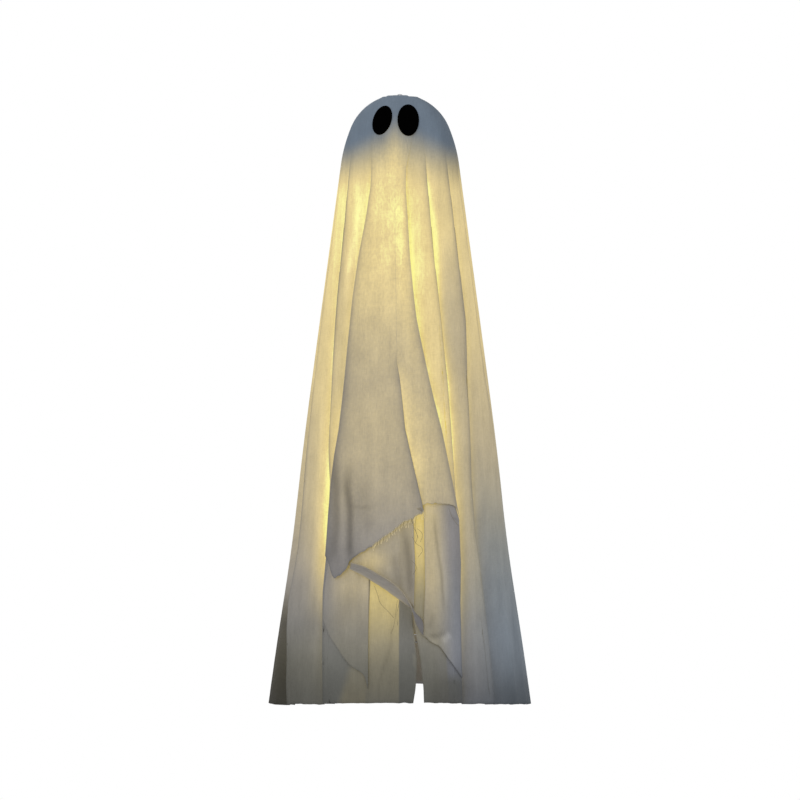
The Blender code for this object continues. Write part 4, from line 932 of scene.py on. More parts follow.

# %% [markdown]
# Muslin is a plain weave of uneven threads. Thicker threads show as fine streaks, more down than
# across, and the cloth is thicker in cloudy patches. Both change how much lamp light comes through,
# more than they change the colour. Bright cloth turns from amber to yellow.

# %% Muslin
# Colours of painted daylight on the unlit cloth: blue, grey, and the browner tone low in front.
DUSK_BLUE = (0.145, 0.183, 0.230)
DUSK_GREY = (0.220, 0.219, 0.240)
DUSK_WARM = (0.165, 0.167, 0.155)
LAMP_AMBER = (1.0, 0.725, 0.120)
LAMP_YELLOW = (1.0, 0.93, 0.17)
LAMP_STRENGTH = 0.80
THREAD_PITCH = 0.0009
MUSLIN_ROUGHNESS = 0.93
CLOUD_GLOSS = 0.1
THROUGH_LIMITS = (0.45, 1.40)
YELLOW_SPAN = (0.72, 0.99)
WEAVE_HEIGHT = 0.00025
WEAVE_STRENGTH = 0.45
THREAD_NOISES = {"warp": ((1.0, 0.06, 1), 1300, 1.0), "weft": ((0.07, 1.0, 1), 1250, 1.0),
                 "streaks": ((1.0, 0.05, 1), 120, 3.0), "clouds": ((1.0, 0.55, 1), 38, 4.0),
                 "specks": ((1.0, 0.60, 1), 300, 3.0)}
THROUGH_SHARES = {"warp": 0.30, "weft": 0.18, "streaks": 0.30, "weave": 0.03}
GRAIN_SHARES = {"warp": 0.20, "weft": 0.14, "clouds": 0.28, "streaks": 0.16, "specks": 0.10}
HEIGHT_SHARES = {"weave": 0.4, "warp": 0.8, "weft": 0.5, "streaks": 0.5}


def muslin_finish(name, clouds_share, specks_share):
    made = Finish(name, roughness=MUSLIN_ROUGHNESS, specular=0.12)
    across = made.attribute("across")
    down = made.attribute("down")
    flat = made.node('ShaderNodeCombineXYZ', {}, {0: across, 1: down, 2: 0.0})
    noises = {kind: made.mottle(made.scaled_place(flat, stretch), scale, detail) - 0.5
              for kind, (stretch, scale, detail) in THREAD_NOISES.items()}
    noises["weave"] = (across * (2 * pi / THREAD_PITCH)).sine() * (down * (2 * pi / THREAD_PITCH)).sine()

    def mixed(start, shares):
        for kind, share in shares.items():
            start = start + noises[kind] * share
        return start

    through = mixed(1, {**THROUGH_SHARES, "clouds": clouds_share, "specks": specks_share})
    lit = (made.attribute("glow") * through.clamped(*THROUGH_LIMITS)).clamped(0.0, 1.0)
    hue = made.blend(lit.stretched(*YELLOW_SPAN), LAMP_AMBER, LAMP_YELLOW)
    dusk = made.blend(made.attribute("tint"), DUSK_BLUE, DUSK_GREY)
    dusk = made.blend(made.attribute("warm"), dusk, DUSK_WARM)
    made.shade("Base Color", made.scaled(dusk, made.attribute("shade") * mixed(1, GRAIN_SHARES)))
    made.shade("Roughness", MUSLIN_ROUGHNESS - noises["clouds"] * CLOUD_GLOSS)
    made.shade("Emission Color", made.scaled(hue, lit))
    made.shade("Emission Strength", LAMP_STRENGTH)
    made.shade("Normal", made.bumped(mixed(0, HEIGHT_SHARES), WEAVE_HEIGHT, WEAVE_STRENGTH))
    return made.material


muslin = muslin_finish("muslin", 0.36, 0.24)
panel_muslin = muslin_finish("panel_muslin", 0.55, 0.46)
print("muslin nodes", len(muslin.node_tree.nodes))

# %% [markdown]
# The main cloth goes all the way round and is sewn along the far left fold. Its columns are the
# folds, the borders of the window in front and the two edges of the slit, with plain columns added
# between them.

# %% Main cloth
MAIN_ROW = 0.0065
MAIN_STEP_ANGLE = 1.1
MAIN_FRAY = 0.0010
MAIN_WINDOW_WARMTH = 0.85
BORDER_SHIFT = 0.3

fold_columns = knife_fold(main_folds[0]) + knife_fold(main_folds[1])
for border in (WINDOW_LEFT_ANGLE, WINDOW_RIGHT_ANGLE):
    fold_columns += [column(((0.0, border),), shift) for shift in (-BORDER_SHIFT, BORDER_SHIFT)]
slit_columns = [column(SLIT_LEFT), column(SLIT_RIGHT)]
fold_columns += slit_columns
for one in main_folds[2:]:
    fold_columns += knife_fold(one)
seam_line = tuple((depth, angle + 360) for depth, angle in FAR_LEFT)
fold_columns.append(dict(fold_columns[0], line=seam_line))
main_columns = filled(fold_columns, MAIN_STEP_ANGLE)
slit_gap = place_of(slit_columns[0], main_columns)
del main_columns[slit_gap + 1:place_of(slit_columns[1], main_columns)]
main_rows = cloth_rows(GHOST_HEIGHT, MAIN_ROW)
slit_row = main_rows[np.argmin(np.abs(main_rows - SLIT_TOP_DEPTH))]


def main_hem(angle, index):
    return hem_depth(angle)


main_grid = drape(main_rows, main_columns, slit_row, main_hem, 0, with_creases(main_glow, MAIN_CREASES),
                  cut=(slit_gap, slit_row), fray=MAIN_FRAY)
main_cloth = cloth_object("ghost_cloth", [main_grid], muslin, dusk_tone(MAIN_CREASES, MAIN_WINDOW_WARMTH))
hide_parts("main_cloth")

# %% [markdown]
# The front panel lies over it. Lower down it is parted by a fold into two flaps, each with its own
# torn hem. Its columns end on that hem, and the second flap comes out from under the first.

# %% Front panel
PANEL_SPLIT = 0.560
PANEL_END = 0.680
PANEL_ROW = 0.0045
PANEL_STEP_ANGLE = 0.7
PANEL_FILL_DEPTH = 0.62
PANEL_FRAY = 0.0030
PANEL_HEM = ((-44, 0.690), (-40.5, 0.690), (-38.6, 0.696), (-37.0, 0.703), (-34.8, 0.718),
             (-32.8, 0.725), (-30.0, 0.719), (-26.4, 0.7065), (-25.4, 0.698), (-18.6, 0.683),
             (-11.7, 0.671), (-5.3, 0.656), (0, 0.6435), (4.2, 0.6377), (7, 0.6340), (9.2, 0.629),
             (13.0, 0.6225))
FLAP_HEM = ((4, 0.617), (12.3, 0.6135), (19.9, 0.6116), (27.5, 0.6120), (31.9, 0.6165), (34.0, 0.6385))
PANEL_STAND_SHARES = ((-45, 0.75), (-20, 0.85), (6, 1.0), (34, 0.55))
PANEL_STAND = [(angle, FLAP_STAND * share) for angle, share in PANEL_STAND_SHARES]
FOLD_BACK_ANGLE = 6.2
FLAP_SINK = 0.0027


def flap_sink(station):
    return FLAP_SINK * parting(station)


fold_edge = [column(PANEL_FOLD, 0.0, 0.0, 0.0, -0.1, parting),
             column(PANEL_FOLD, 0.1, 0.0, 0.35, -0.1, parting),
             column(PANEL_FOLD, 0.2, -FOLD_BACK_ANGLE, 0.50, 0.2, parting),
             column(PANEL_FOLD, 0.3, -FOLD_BACK_ANGLE, 0.85, 0.2, parting),
             column(PANEL_FOLD, 0.4, 0.0, 1.0, 0.4, parting)]
panel_order = [column(PANEL_LEFT), column(PANEL_LEFT, 0.5), column(PANEL_LEFT, 1.3),
               column(PANEL_FOLD, -1.3), column(PANEL_FOLD, -0.5)] + fold_edge
panel_order += [column(PANEL_FOLD, 1.2, sink=1.0), column(PANEL_RIGHT, -1.3, sink=1.0),
                column(PANEL_RIGHT, -0.5, sink=1.0), column(PANEL_RIGHT, sink=1.0)]
panel_columns = filled(panel_order, PANEL_STEP_ANGLE, at=PANEL_FILL_DEPTH)
first_flap_end = place_of(fold_edge[1], panel_columns)


def panel_hem(angle, index):
    return read_line(PANEL_HEM if index <= first_flap_end else FLAP_HEM, angle)


panel_grid = drape(cloth_rows(PANEL_END, PANEL_ROW), panel_columns, PANEL_SPLIT, panel_hem, 2,
                   with_creases(panel_glow, FLAP_CREASES), stand=PANEL_STAND, fray=PANEL_FRAY,
                   sink_share=flap_sink)
front_panel = cloth_object("front_flaps", [panel_grid], panel_muslin, panel_tone)
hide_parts("front_panel")

# %% [markdown]
# Between the two lies the lining. What shows of it is a pocket below the first flap, a long tail on
# the left and a shorter, bunched one on the right. The tails are grids of their own in the same
# sheet, and start out of sight under the flaps.

# %% Lining panel
LINING_LEFT = ((0.0, -44), (0.045, -28), (0.155, -22), (0.456, -34), (0.620, -38), (0.700, -40))
LINING_RIGHT = ((0.0, 24), (0.045, 11), (0.155, 2), (0.456, 4.4), (0.620, 7.0), (0.700, 7.6),
                (0.760, 6.6))
POCKET_HEM = ((-40, 0.685), (-36, 0.695), (-30, 0.700), (-25.8, 0.7035), (-13.2, 0.7180),
              (-0.6, 0.7430), (5, 0.7610), (6.5, 0.7640))
LEFT_TAIL_LEFT = ((0.0, -38.0), (0.640, -38.6), (0.700, -39.4), (0.733, -40.4), (0.770, -39.9),
                  (0.900, -38))
LEFT_TAIL_RIGHT = ((0.0, -15.9), (0.700, -15.8), (0.900, -13.7))
LEFT_TAIL_HEM = ((-42.2, 0.765), (-37.4, 0.793), (-32.4, 0.8145), (-23.0, 0.849), (-15.9, 0.863),
                 (-13.9, 0.885))
RIGHT_TAIL_LEFT = ((0.0, 13), (0.640, 12.6), (0.735, 12.2), (0.806, 10.4), (0.850, 11.0))
RIGHT_TAIL_RIGHT = ((0.0, 29.4), (0.590, 29.4), (0.612, 31.0), (0.635, 33.4), (0.700, 32.6),
                    (0.758, 30.4), (0.850, 28.6))
RIGHT_TAIL_HEM = ((10.4, 0.806), (14, 0.814), (18.5, 0.822), (22, 0.838), (28.4, 0.868))
POCKET_GLOW = ((0.60, 0.30), (0.66, 0.22), (0.700, 0.18), (0.745, 0.12))
LEFT_TAIL_GLOW = ((0.60, 0.25), (0.700, 0.30), (0.735, 0.30), (0.765, 0.17), (0.800, 0.08),
                  (0.850, 0.03), (0.885, 0.01))
RIGHT_TAIL_GLOW = ((0.60, 0.46), (0.683, 0.34), (0.728, 0.32), (0.758, 0.22), (0.790, 0.12),
                   (0.850, 0.04))
TAIL_START = 0.590
TAIL_ROW = 0.0040
POCKET_END = 0.757
LEFT_TAIL_END = 0.885
RIGHT_TAIL_END = 0.850
LINING_STEP_ANGLE = 0.8
LINING_WINDOW_WARMTH = 0.15
LINING_STAND_SHARE = 0.35
TAIL_STAND = 0.0006
LEAF_GLOW = 1.35
LEAF_ANGLE = -14.5
LEAF_SPREAD = 8
LEAF_DEPTH = 0.697
LEAF_LENGTH = 0.017
LEFT_TAIL_SPAN = (-42, -26)
LEFT_TAIL_LEAST_SHARE = 0.25
RIGHT_TAIL_SPAN = (15, 29)
RIGHT_TAIL_MOST_SHARE = 1.05
RIGHT_TAIL_LOSS = 0.93


def tail_rows(last):
    return np.linspace(TAIL_START, last, int((last - TAIL_START) / TAIL_ROW) + 2)


def pocket_glow(angle, station):
    off = ((angle - LEAF_ANGLE) / LEAF_SPREAD) ** 2 + ((station - LEAF_DEPTH) / LEAF_LENGTH) ** 2
    return read_line(POCKET_GLOW, station) * (1 + LEAF_GLOW * np.exp(-off))


def left_tail_glow(angle, station):
    share = LEFT_TAIL_LEAST_SHARE + (1 - LEFT_TAIL_LEAST_SHARE) * smooth(*LEFT_TAIL_SPAN, angle)
    return read_line(LEFT_TAIL_GLOW, station) * share


def right_tail_glow(angle, station):
    share = RIGHT_TAIL_MOST_SHARE - RIGHT_TAIL_LOSS * smooth(*RIGHT_TAIL_SPAN, angle)
    return read_line(RIGHT_TAIL_GLOW, station) * share


def lining_grid(rows, left, right, hem, glow, stand, fray):
    def lining_hem(angle, index):
        return read_line(hem, angle)
    columns = filled([column(left), column(right)], LINING_STEP_ANGLE)
    return drape(rows, columns, TAIL_START, lining_hem, 1, with_creases(glow, TAIL_CREASES),
                 stand=((0, stand),), fray=fray)


lining_grids = [
    lining_grid(cloth_rows(POCKET_END, PANEL_ROW), LINING_LEFT, LINING_RIGHT, POCKET_HEM, pocket_glow,
                FLAP_STAND * LINING_STAND_SHARE, 0.0012),
    lining_grid(tail_rows(LEFT_TAIL_END), LEFT_TAIL_LEFT, LEFT_TAIL_RIGHT, LEFT_TAIL_HEM, left_tail_glow,
                TAIL_STAND, 0.0008),
    lining_grid(tail_rows(RIGHT_TAIL_END), RIGHT_TAIL_LEFT, RIGHT_TAIL_RIGHT, RIGHT_TAIL_HEM,
                right_tail_glow, TAIL_STAND, 0.0010)]
lining = cloth_object("lining_cloth", lining_grids, muslin, dusk_tone(TAIL_CREASES, LINING_WINDOW_WARMTH))
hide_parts("lining_panel")

# %% [markdown]
# A narrow torn strip hangs across the pocket's hem. It runs down to the slit, turns over once and
# ends in a point. It is a ribbon along a path in the front view, whose width turns about the path.

# %% Twisted strip
STRIP_PATH = ((-0.0735, 0.7030), (-0.0560, 0.7090), (-0.0375, 0.7190), (-0.0180, 0.7305),
              (-0.0018, 0.7430), (0.0135, 0.7590), (0.0200, 0.7700), (0.0285, 0.7850), (0.0335, 0.8040))
STRIP_WIDTHS = (0.0100, 0.0135, 0.0150, 0.0165, 0.0170, 0.0130, 0.0070, 0.0120, 0.0015)
STRIP_TURNS = (8, 12, 16, 24, 40, 70, 115, 160, 175)
STRIP_STAND = 0.0085
STRIP_STEPS = 64
STRIP_COLUMNS = 9
STRIP_CURL_SHARE = 0.9
STRIP_CURL_LEVEL = 0.11
STRIP_WAVER = 0.0006
WAVER_SCALE = 180
WAVER_COLUMN_STEP = 0.6
# The strip glows with painted lamp light, brightest along both rims, and its lower end is painted dimmer and
# darker.
STRIP_GLOW = 0.08
STRIP_RIM_GLOW = 0.10
STRIP_DIM_SPAN = (0.750, 0.775)
STRIP_GLOW_LOSS = 0.7
STRIP_SHADE = 0.90
STRIP_SHADE_LOSS = 0.25
STRIP_WARMTH = 0.1


def eased(values, count):
    """Read a row of values at more places, along a curve that passes through them."""
    keys = np.array(values, dtype=float)
    slopes = np.gradient(keys)
    at = np.linspace(0, len(keys) - 1, count)
    low = np.minimum(at.astype(int), len(keys) - 2)
    return hermite(at - low, keys[low], slopes[low], keys[low + 1], slopes[low + 1])


def front_point(x, depth, stand):
    radius = float(radius_at(depth)) + stand
    return Vector((x, -sqrt(radius ** 2 - x ** 2), z_at(depth)))


def strip_grid():
    xs, depths = (eased(row, STRIP_STEPS) for row in zip(*STRIP_PATH))
    widths = eased(STRIP_WIDTHS, STRIP_STEPS)
    turns = eased(STRIP_TURNS, STRIP_STEPS)
    centres = [front_point(x, d, STRIP_STAND) for x, d in zip(xs, depths)]
    points = []
    across = []
    for i, centre in enumerate(centres):
        along = (centres[min(i + 1, STRIP_STEPS - 1)] - centres[max(i - 1, 0)]).normalized()
        out = Vector((centre.x, centre.y, 0)).normalized()
        side = Matrix.Rotation(radians(turns[i]), 3, along) @ along.cross(out).normalized()
        rise = side.cross(along)
        for c in range(STRIP_COLUMNS):
            u = c / (STRIP_COLUMNS - 1) - 0.5
            shift = Vector((c * WAVER_COLUMN_STEP, 0, 0))
            waver = STRIP_WAVER * noise.noise(centre * WAVER_SCALE + shift)
            curl = widths[i] * (STRIP_CURL_SHARE * u * u - STRIP_CURL_LEVEL)
            points.append(centre + side * (u * widths[i]) + rise * (curl + waver))
            across.append(u * widths[i])
    faces = [(face[0], *face[:0:-1]) for face in grid_faces(STRIP_STEPS, STRIP_COLUMNS)]
    flat = np.array([list(p) for p in points])
    rim = np.tile(np.abs(np.linspace(-1, 1, STRIP_COLUMNS)), STRIP_STEPS)
    station = CROWN_HEIGHT - flat[:, 2]
    glow = STRIP_GLOW + STRIP_RIM_GLOW * rim ** 6
    glow = glow * (1 - STRIP_GLOW_LOSS * smooth(*STRIP_DIM_SPAN, station))
    return {"points": flat, "faces": faces, "glow": glow, "across": np.array(across),
            "angle": np.degrees(np.arctan2(flat[:, 0], -flat[:, 1])), "station": station}


def strip_tone(angle, station):
    shade = STRIP_SHADE - STRIP_SHADE_LOSS * smooth(*STRIP_DIM_SPAN, station)
    return {"tint": np.ones_like(angle), "warm": np.full_like(angle, STRIP_WARMTH), "shade": shade}


strip = cloth_object("twisted_strip", [strip_grid()], panel_muslin, strip_tone)

# %% [markdown]
# A torn hem sheds threads. Short ones stick out along the right half of the first flap's hem, and a
# few long ones hang loose over the window below. Each is a thin curve that wanders a little, and all
# the threads of a sheet make one piece.

# %% Loose threads
THREAD_RADIUS = 0.00024
THREAD_STAND = 0.0105
FRINGE_LENGTH = 0.0070
FRINGE_ROOT = 0.0020
FRINGE_OUT = 0.0006
FRINGE_OUT_AT_ROOT = 0.4
FRINGE_SHARES = (0.55, 1.3)
FRINGE_PITCH = 0.9
FRINGE_ROW = 3.3
FRINGE_DRAWS = (1.7, 11.3, 23.9)
FRINGE_DROP_SHARE = 0.3
FRINGE_BEND_SHARE = 0.3
LONG_THREADS = (
    ((-0.0375, 0.7330), (-0.0330, 0.7450), (-0.0285, 0.7580), (-0.0180, 0.7690), (-0.0090, 0.7790)),
    ((-0.0040, 0.7530), (-0.0060, 0.7700), (-0.0085, 0.7880), (-0.0135, 0.8030)),
    ((-0.0010, 0.7560), (-0.0045, 0.7740), (-0.0035, 0.7900)),
    ((0.0165, 0.6330), (0.0200, 0.6450), (0.0255, 0.6600), (0.0225, 0.6700)),
    ((0.0240, 0.6290), (0.0225, 0.6480), (0.0270, 0.6620)),
    ((0.0180, 0.6600), (0.0240, 0.6700), (0.0330, 0.6780), (0.0270, 0.6900)),
    ((0.0255, 0.6480), (0.0330, 0.6560), (0.0300, 0.6680)),
    ((0.0170, 0.6950), (0.0240, 0.7040), (0.0190, 0.7160)),
    ((0.0720, 0.6180), (0.0780, 0.6330), (0.0870, 0.6450)),
)


def darker(colour, share):
    return tuple(part * share for part in colour)


def thread_finish(name, colour, glow):
    made = Finish(name, roughness=0.9, specular=0.1)
    fibre = made.mottle(made.place(), 700, 2.0)
    made.shade("Base Color", made.blend(fibre, colour, darker(colour, 0.6)))
    made.shade("Emission Color", LAMP_AMBER)
    made.shade("Emission Strength", glow)
    return made.material


def curve_object(name, splines, radius, kind, finish):
    """Round threads or wire along rows of points."""
    data = bpy.data.curves.new(name, 'CURVE')
    data.dimensions = '3D'
    data.bevel_depth = radius
    data.bevel_resolution = 1
    data.use_fill_caps = True
    for places in splines:
        spline = data.splines.new(kind)
        points = spline.bezier_points if kind == 'BEZIER' else spline.points
        points.add(len(places) - 1)
        for point, place in zip(points, places):
            if kind == 'BEZIER':
                point.co = place
                point.handle_left_type = 'AUTO'
                point.handle_right_type = 'AUTO'
            else:
                point.co = (*place, 1)
        spline.resolution_u = 5
    return add_piece(name, data, finish)


def hem_fringe(grid, count, first, last):
    """Short threads that go on below a hem, each from a point of the last row."""
    rows = len(grid["points"]) // count
    least, more = FRINGE_SHARES
    paths = []
    for index in range(first, last):
        tip = Vector(grid["points"][(rows - 1) * count + index])
        back = Vector(grid["points"][(rows - 3) * count + index])
        way = (tip - back).normalized()
        turn = Vector([noise.noise(Vector((index * FRINGE_PITCH, FRINGE_ROW, draw)))
                       for draw in FRINGE_DRAWS])
        length = FRINGE_LENGTH * (least + abs(turn.x) * more)
        side = Vector((turn.y, 0.0, FRINGE_DROP_SHARE * turn.z)) * length
        out = Vector((tip.x, tip.y, 0)).normalized() * FRINGE_OUT
        paths.append([tip - way * FRINGE_ROOT + out * FRINGE_OUT_AT_ROOT,
                      tip + way * length / 2 + side * FRINGE_BEND_SHARE + out,
                      tip + way * length + side + out])
    return paths


# The fringe threads are painted lit, pale and glowing with painted lamp light; the long loose threads are
# painted in shade, dark, with hardly any glow.
shaded_thread = thread_finish("shaded_thread", (0.17, 0.15, 0.11), 0.02)
lit_thread = thread_finish("lit_thread", (0.60, 0.56, 0.46), 0.26)
fringe = hem_fringe(panel_grid, len(panel_columns), first_flap_end // 2, first_flap_end)
fringe_piece = curve_object("hem_fringe", fringe, THREAD_RADIUS, 'BEZIER', lit_thread)
loose_paths = [[front_point(x, depth, THREAD_STAND) for x, depth in path] for path in LONG_THREADS]
loose_piece = curve_object("loose_threads", loose_paths, THREAD_RADIUS, 'BEZIER', shaded_thread)
print("threads", len(fringe) + len(loose_paths))

# %% [markdown]
# The eyes are ovals of black felt. Their outline is an oval as seen from the front, laid onto the
# curve of the head. The edge is rounded down, because cut felt is soft, and the surface has a nap.

# %% Felt eyes
FELT_THICKNESS = 0.0012
FELT_DARK = (0.0003, 0.0003, 0.0003)
FELT_LIGHT = (0.0014, 0.0014, 0.0014)
EYE_HEIGHT = 0.0381
EYE_POINTS = 72
EYE_SHARES = (0.0, 0.25, 0.5, 0.72, 0.88, 0.95, 0.985, 1.0)
EYE_STAND_SHARES = (1.0, 1.0, 1.0, 1.0, 1.0, 0.94, 0.74, 0.40)
HEAD_CENTRE = z_at(HEAD_RADIUS)
EYES = {"eye_left": (-0.0264, 0.0136, 0.0228, 18), "eye_right": (0.0123, 0.0160, 0.0240, -1)}
UNDER_EYE_GAP = 0.0004
under_radius, under_height = on_profile(ball_depths, PLY_STEP * 2 * ply_share(ball_depths) + UNDER_EYE_GAP)


def eye_point(x, z, stand):
    """A point of an eye, laid on the panel under it and then raised by a stand."""
    y = -sqrt(float(np.interp(-z, -under_height, under_radius)) ** 2 - x ** 2)
    way = Vector((x, y, z - HEAD_CENTRE)).normalized()
    return Vector((x, y, z)) + way * stand


def felt_eye(name, finish, out, half_width, half_height, lean):
    turn = radians(lean)
    points = []
    faces = []

    def ring(share, stand):
        first = len(points)
        for i in range(EYE_POINTS if share else 1):
            a = 2 * pi * i / EYE_POINTS
            across = share * half_width * cos(a)
            up = share * half_height * sin(a)
            x = out + across * cos(turn) + up * sin(turn)
            z = HEAD_CENTRE + EYE_HEIGHT - across * sin(turn) + up * cos(turn)
            points.append(eye_point(x, z, stand))
        return list(range(first, len(points)))

    rings = [ring(share, FELT_THICKNESS * stand) for share, stand in zip(EYE_SHARES, EYE_STAND_SHARES)]
    rings += [ring(share, 0.0) for share in EYE_SHARES[::-1]]
    for inner, outer in zip(rings, rings[1:]):
        for i in range(EYE_POINTS):
            j = (i + 1) % EYE_POINTS
            corners = [inner[i % len(inner)], outer[i % len(outer)], outer[j % len(outer)],
                       inner[j % len(inner)]]
            faces.append(list(dict.fromkeys(corners)))
    mesh = bpy.data.meshes.new(name)
    mesh.from_pydata(points, [], faces)
    work = bmesh.new()
    work.from_mesh(mesh)
    bmesh.ops.recalc_face_normals(work, faces=work.faces)
    work.to_mesh(mesh)
    work.free()
    mesh.shade_smooth()
    made = add_piece("felt_" + name, mesh, finish)
    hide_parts(name)
    return made


def felt_finish():
    made = Finish("black_felt", roughness=1.0, specular=0.0)
    place = made.place()
    nap = made.mottle(place, 900, 3.0, 0.6)
    tufts = made.mottle(place, 260, 2.0)
    made.shade("Base Color", made.blend(nap * tufts, FELT_DARK, FELT_LIGHT))
    made.shade("Normal", made.bumped(nap + tufts * 0.5, 0.0002, 0.6))
    return made.material


black_felt = felt_finish()
eyes = [felt_eye(name, black_felt, *sizes) for name, sizes in EYES.items()]
print("felt eyes", [eye.name for eye in eyes])

# %% [markdown]
# The rest of the ghost is what the model gives: steel, wire, plastic, cells and a circuit board. Each
# gets a finish of its own. Steel is brushed by stretched noise, plastic has a fine moulded grain,
# and a cell has a dark jacket with a copper-coloured band near its upper end.

# %% Finishes of the inner parts
CELL_BAND_SPAN = (0.70, 0.71)
TRACK_SPAN = (0.52, 0.54)


def steel_finish(name, colour, roughness):
    made = Finish(name, roughness=roughness, metallic=1.0)
    place = made.place()
    brushed = made.mottle(made.scaled_place(place, (1, 1, 0.1)), 900, 3.0)
    spangle = made.mottle(place, 160, 3.0)
    made.shade("Base Color", made.blend(spangle, colour, darker(colour, 0.72)))
    made.shade("Roughness", roughness + (brushed - 0.5) * 0.25)
    return made.material


def plastic_finish(name, colour, roughness):
    made = Finish(name, roughness=roughness, specular=0.4)
    place = made.place()
    grain = made.mottle(place, 1400, 2.0)
    cloud = made.mottle(place, 40, 2.0)
    made.shade("Base Color", made.blend(cloud, colour, darker(colour, 0.86)))
    made.shade("Roughness", roughness + (grain - 0.5) * 0.2)
    made.shade("Normal", made.bumped(grain, 0.0001, 0.4))
    return made.material


def cell_finish():
    made = Finish("cell_jacket", roughness=0.35, metallic=0.6)
    share_up = made.node('ShaderNodeTexCoord', output='Generated')
    height = made.node('ShaderNodeSeparateXYZ', {}, {0: share_up}, output=2)
    scuffs = made.mottle(made.place(), 300, 3.0)
    band = height.stretched(*CELL_BAND_SPAN)
    made.shade("Base Color", made.blend(band, (0.015, 0.016, 0.018), (0.62, 0.30, 0.12)))
    made.shade("Roughness", 0.30 + scuffs * 0.2)
    return made.material


def board_finish():
    made = Finish("board_green", roughness=0.4)
    streaks = made.mottle(made.scaled_place(made.place(), (1.0, 1.0, 0.25)), 420, 0.0)
    tracks = streaks.stretched(*TRACK_SPAN)
    made.shade("Base Color", made.blend(tracks, (0.010, 0.105, 0.030), (0.035, 0.210, 0.070)))
    return made.material


def copper_finish():
    made = Finish("string_copper", roughness=0.3, metallic=1.0)
    lacquer = made.mottle(made.place(), 260, 2.0)
    made.shade("Base Color", made.blend(lacquer, (0.72, 0.33, 0.16), (0.50, 0.22, 0.11)))
    made.shade("Roughness", 0.25 + lacquer * 0.15)
    return made.material


def resin_finish():
    made = Finish("lamp_resin", roughness=0.15, specular=0.6)
    core = made.mottle(made.place(), 500, 1.0)
    made.shade("Base Color", (0.9, 0.8, 0.55))
    made.shade("Emission Color", made.blend(core, (1.0, 0.62, 0.20), (1.0, 0.80, 0.42)))
    made.shade("Emission Strength", 2.2)
    return made.material


frame_steel = steel_finish("frame_wire", (0.46, 0.46, 0.48), 0.48)
NODE_FINISHES = (
    (steel_finish("zinc_steel", (0.50, 0.51, 0.53), 0.36),
     ("hanging_ring", "swivel_eye", "crown_plate", "crown_washer", "lock_nut", "base_screw", "box_screw",
      "lid_screw", "lid_hinge_pin", "cell_spring", "upper_contact", "lower_contact")),
    (frame_steel, ("upright", "hoop")),
    (plastic_finish("shell_plastic", (0.72, 0.72, 0.70), 0.45), ("head_shell", "head_base")),
    (plastic_finish("box_plastic", (0.60, 0.60, 0.58), 0.50), ("battery_box", "battery_lid")),
    (plastic_finish("black_plastic", (0.016, 0.016, 0.017), 0.42), ("switch_body", "switch_slider",
                                                                 "lead_bushing")),
    (cell_finish(), ("cell_1", "cell_2", "cell_3")),
    (board_finish(), ("circuit_board",)),
)
finished = 0
for material, starts in NODE_FINISHES:
    for name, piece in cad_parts.items():
        if name.startswith(starts):
            piece.data.materials.clear()
            piece.data.materials.append(material)
            finished += 1
print("nodes given a finish", finished)

# %% [markdown]
# The lamp string winds down the frame from the box to the lower hoop. Its wire is a thin tube along
# the same winding as in the model, and every lamp is a small drop of clear resin that glows.

# %% Lamp string
WINDING_TOP_DEPTH = 0.158
WINDING_BOTTOM_DEPTH = 0.790
WINDING_TURNS = 6
WINDING_POWER = 1.35
WINDING_START_ANGLE = 90
FRAME_INSET = 0.0165
WIRE_RADIUS = 0.0015
STRING_RADIUS = 0.0008
GAP = 0.0003
LOOP_POINTS = 48
LEAD_POINTS = 16
LEAD_SAG = 0.004
BEAD_SPACING = 0.105
BEAD_RADIUS = 0.0022
BEAD_STRETCH = 1.25
BUSHING_CLEARANCE = 0.002
CLEAR_OF_UPRIGHT_ANGLE = 1
UPRIGHT_ANGLES = (45, 135, 225, 315)


def winding_point(turn):
    depth = WINDING_TOP_DEPTH + (WINDING_BOTTOM_DEPTH - WINDING_TOP_DEPTH) * (
        turn / WINDING_TURNS) ** WINDING_POWER
    radius = cone_radius(depth) - FRAME_INSET + WIRE_RADIUS + GAP + STRING_RADIUS
    return around(radius, WINDING_START_ANGLE + 360 * turn, z_at(depth))


def small_parts(name, finish, add_shapes):
    """One piece out of many small round shapes."""
    work = bmesh.new()
    print(name, add_shapes(work))
    mesh = bpy.data.meshes.new(name)
    work.to_mesh(mesh)
    work.free()
    mesh.shade_smooth()
    return add_piece(name, mesh, finish)


def box_of(node):
    return [Vector(corner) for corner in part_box(node)]


winding = [winding_point(i / LOOP_POINTS) for i in range(WINDING_TURNS * LOOP_POINTS + 1)]
bushing_low, bushing_high = box_of("lead_bushing")
lead_start = (bushing_low + bushing_high) / 2
lead_out = Vector((bushing_high.x + BUSHING_CLEARANCE, lead_start.y, lead_start.z))
reach = (winding[0] - lead_out).length / 2
first_handle = lead_out + Vector((reach, 0, -LEAD_SAG))
last_handle = winding[0] - (winding[1] - winding[0]).normalized() * reach
lead = [lead_start]
for i in range(LEAD_POINTS):
    t = i / LEAD_POINTS
    lead.append((1 - t) ** 3 * lead_out + 3 * t * (1 - t) ** 2 * first_handle
                + 3 * t * t * (1 - t) * last_handle + t ** 3 * winding[0])
lamp_wire = curve_object("lamp_wire", [lead + winding], STRING_RADIUS, 'POLY', copper_finish())
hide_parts("light_string")


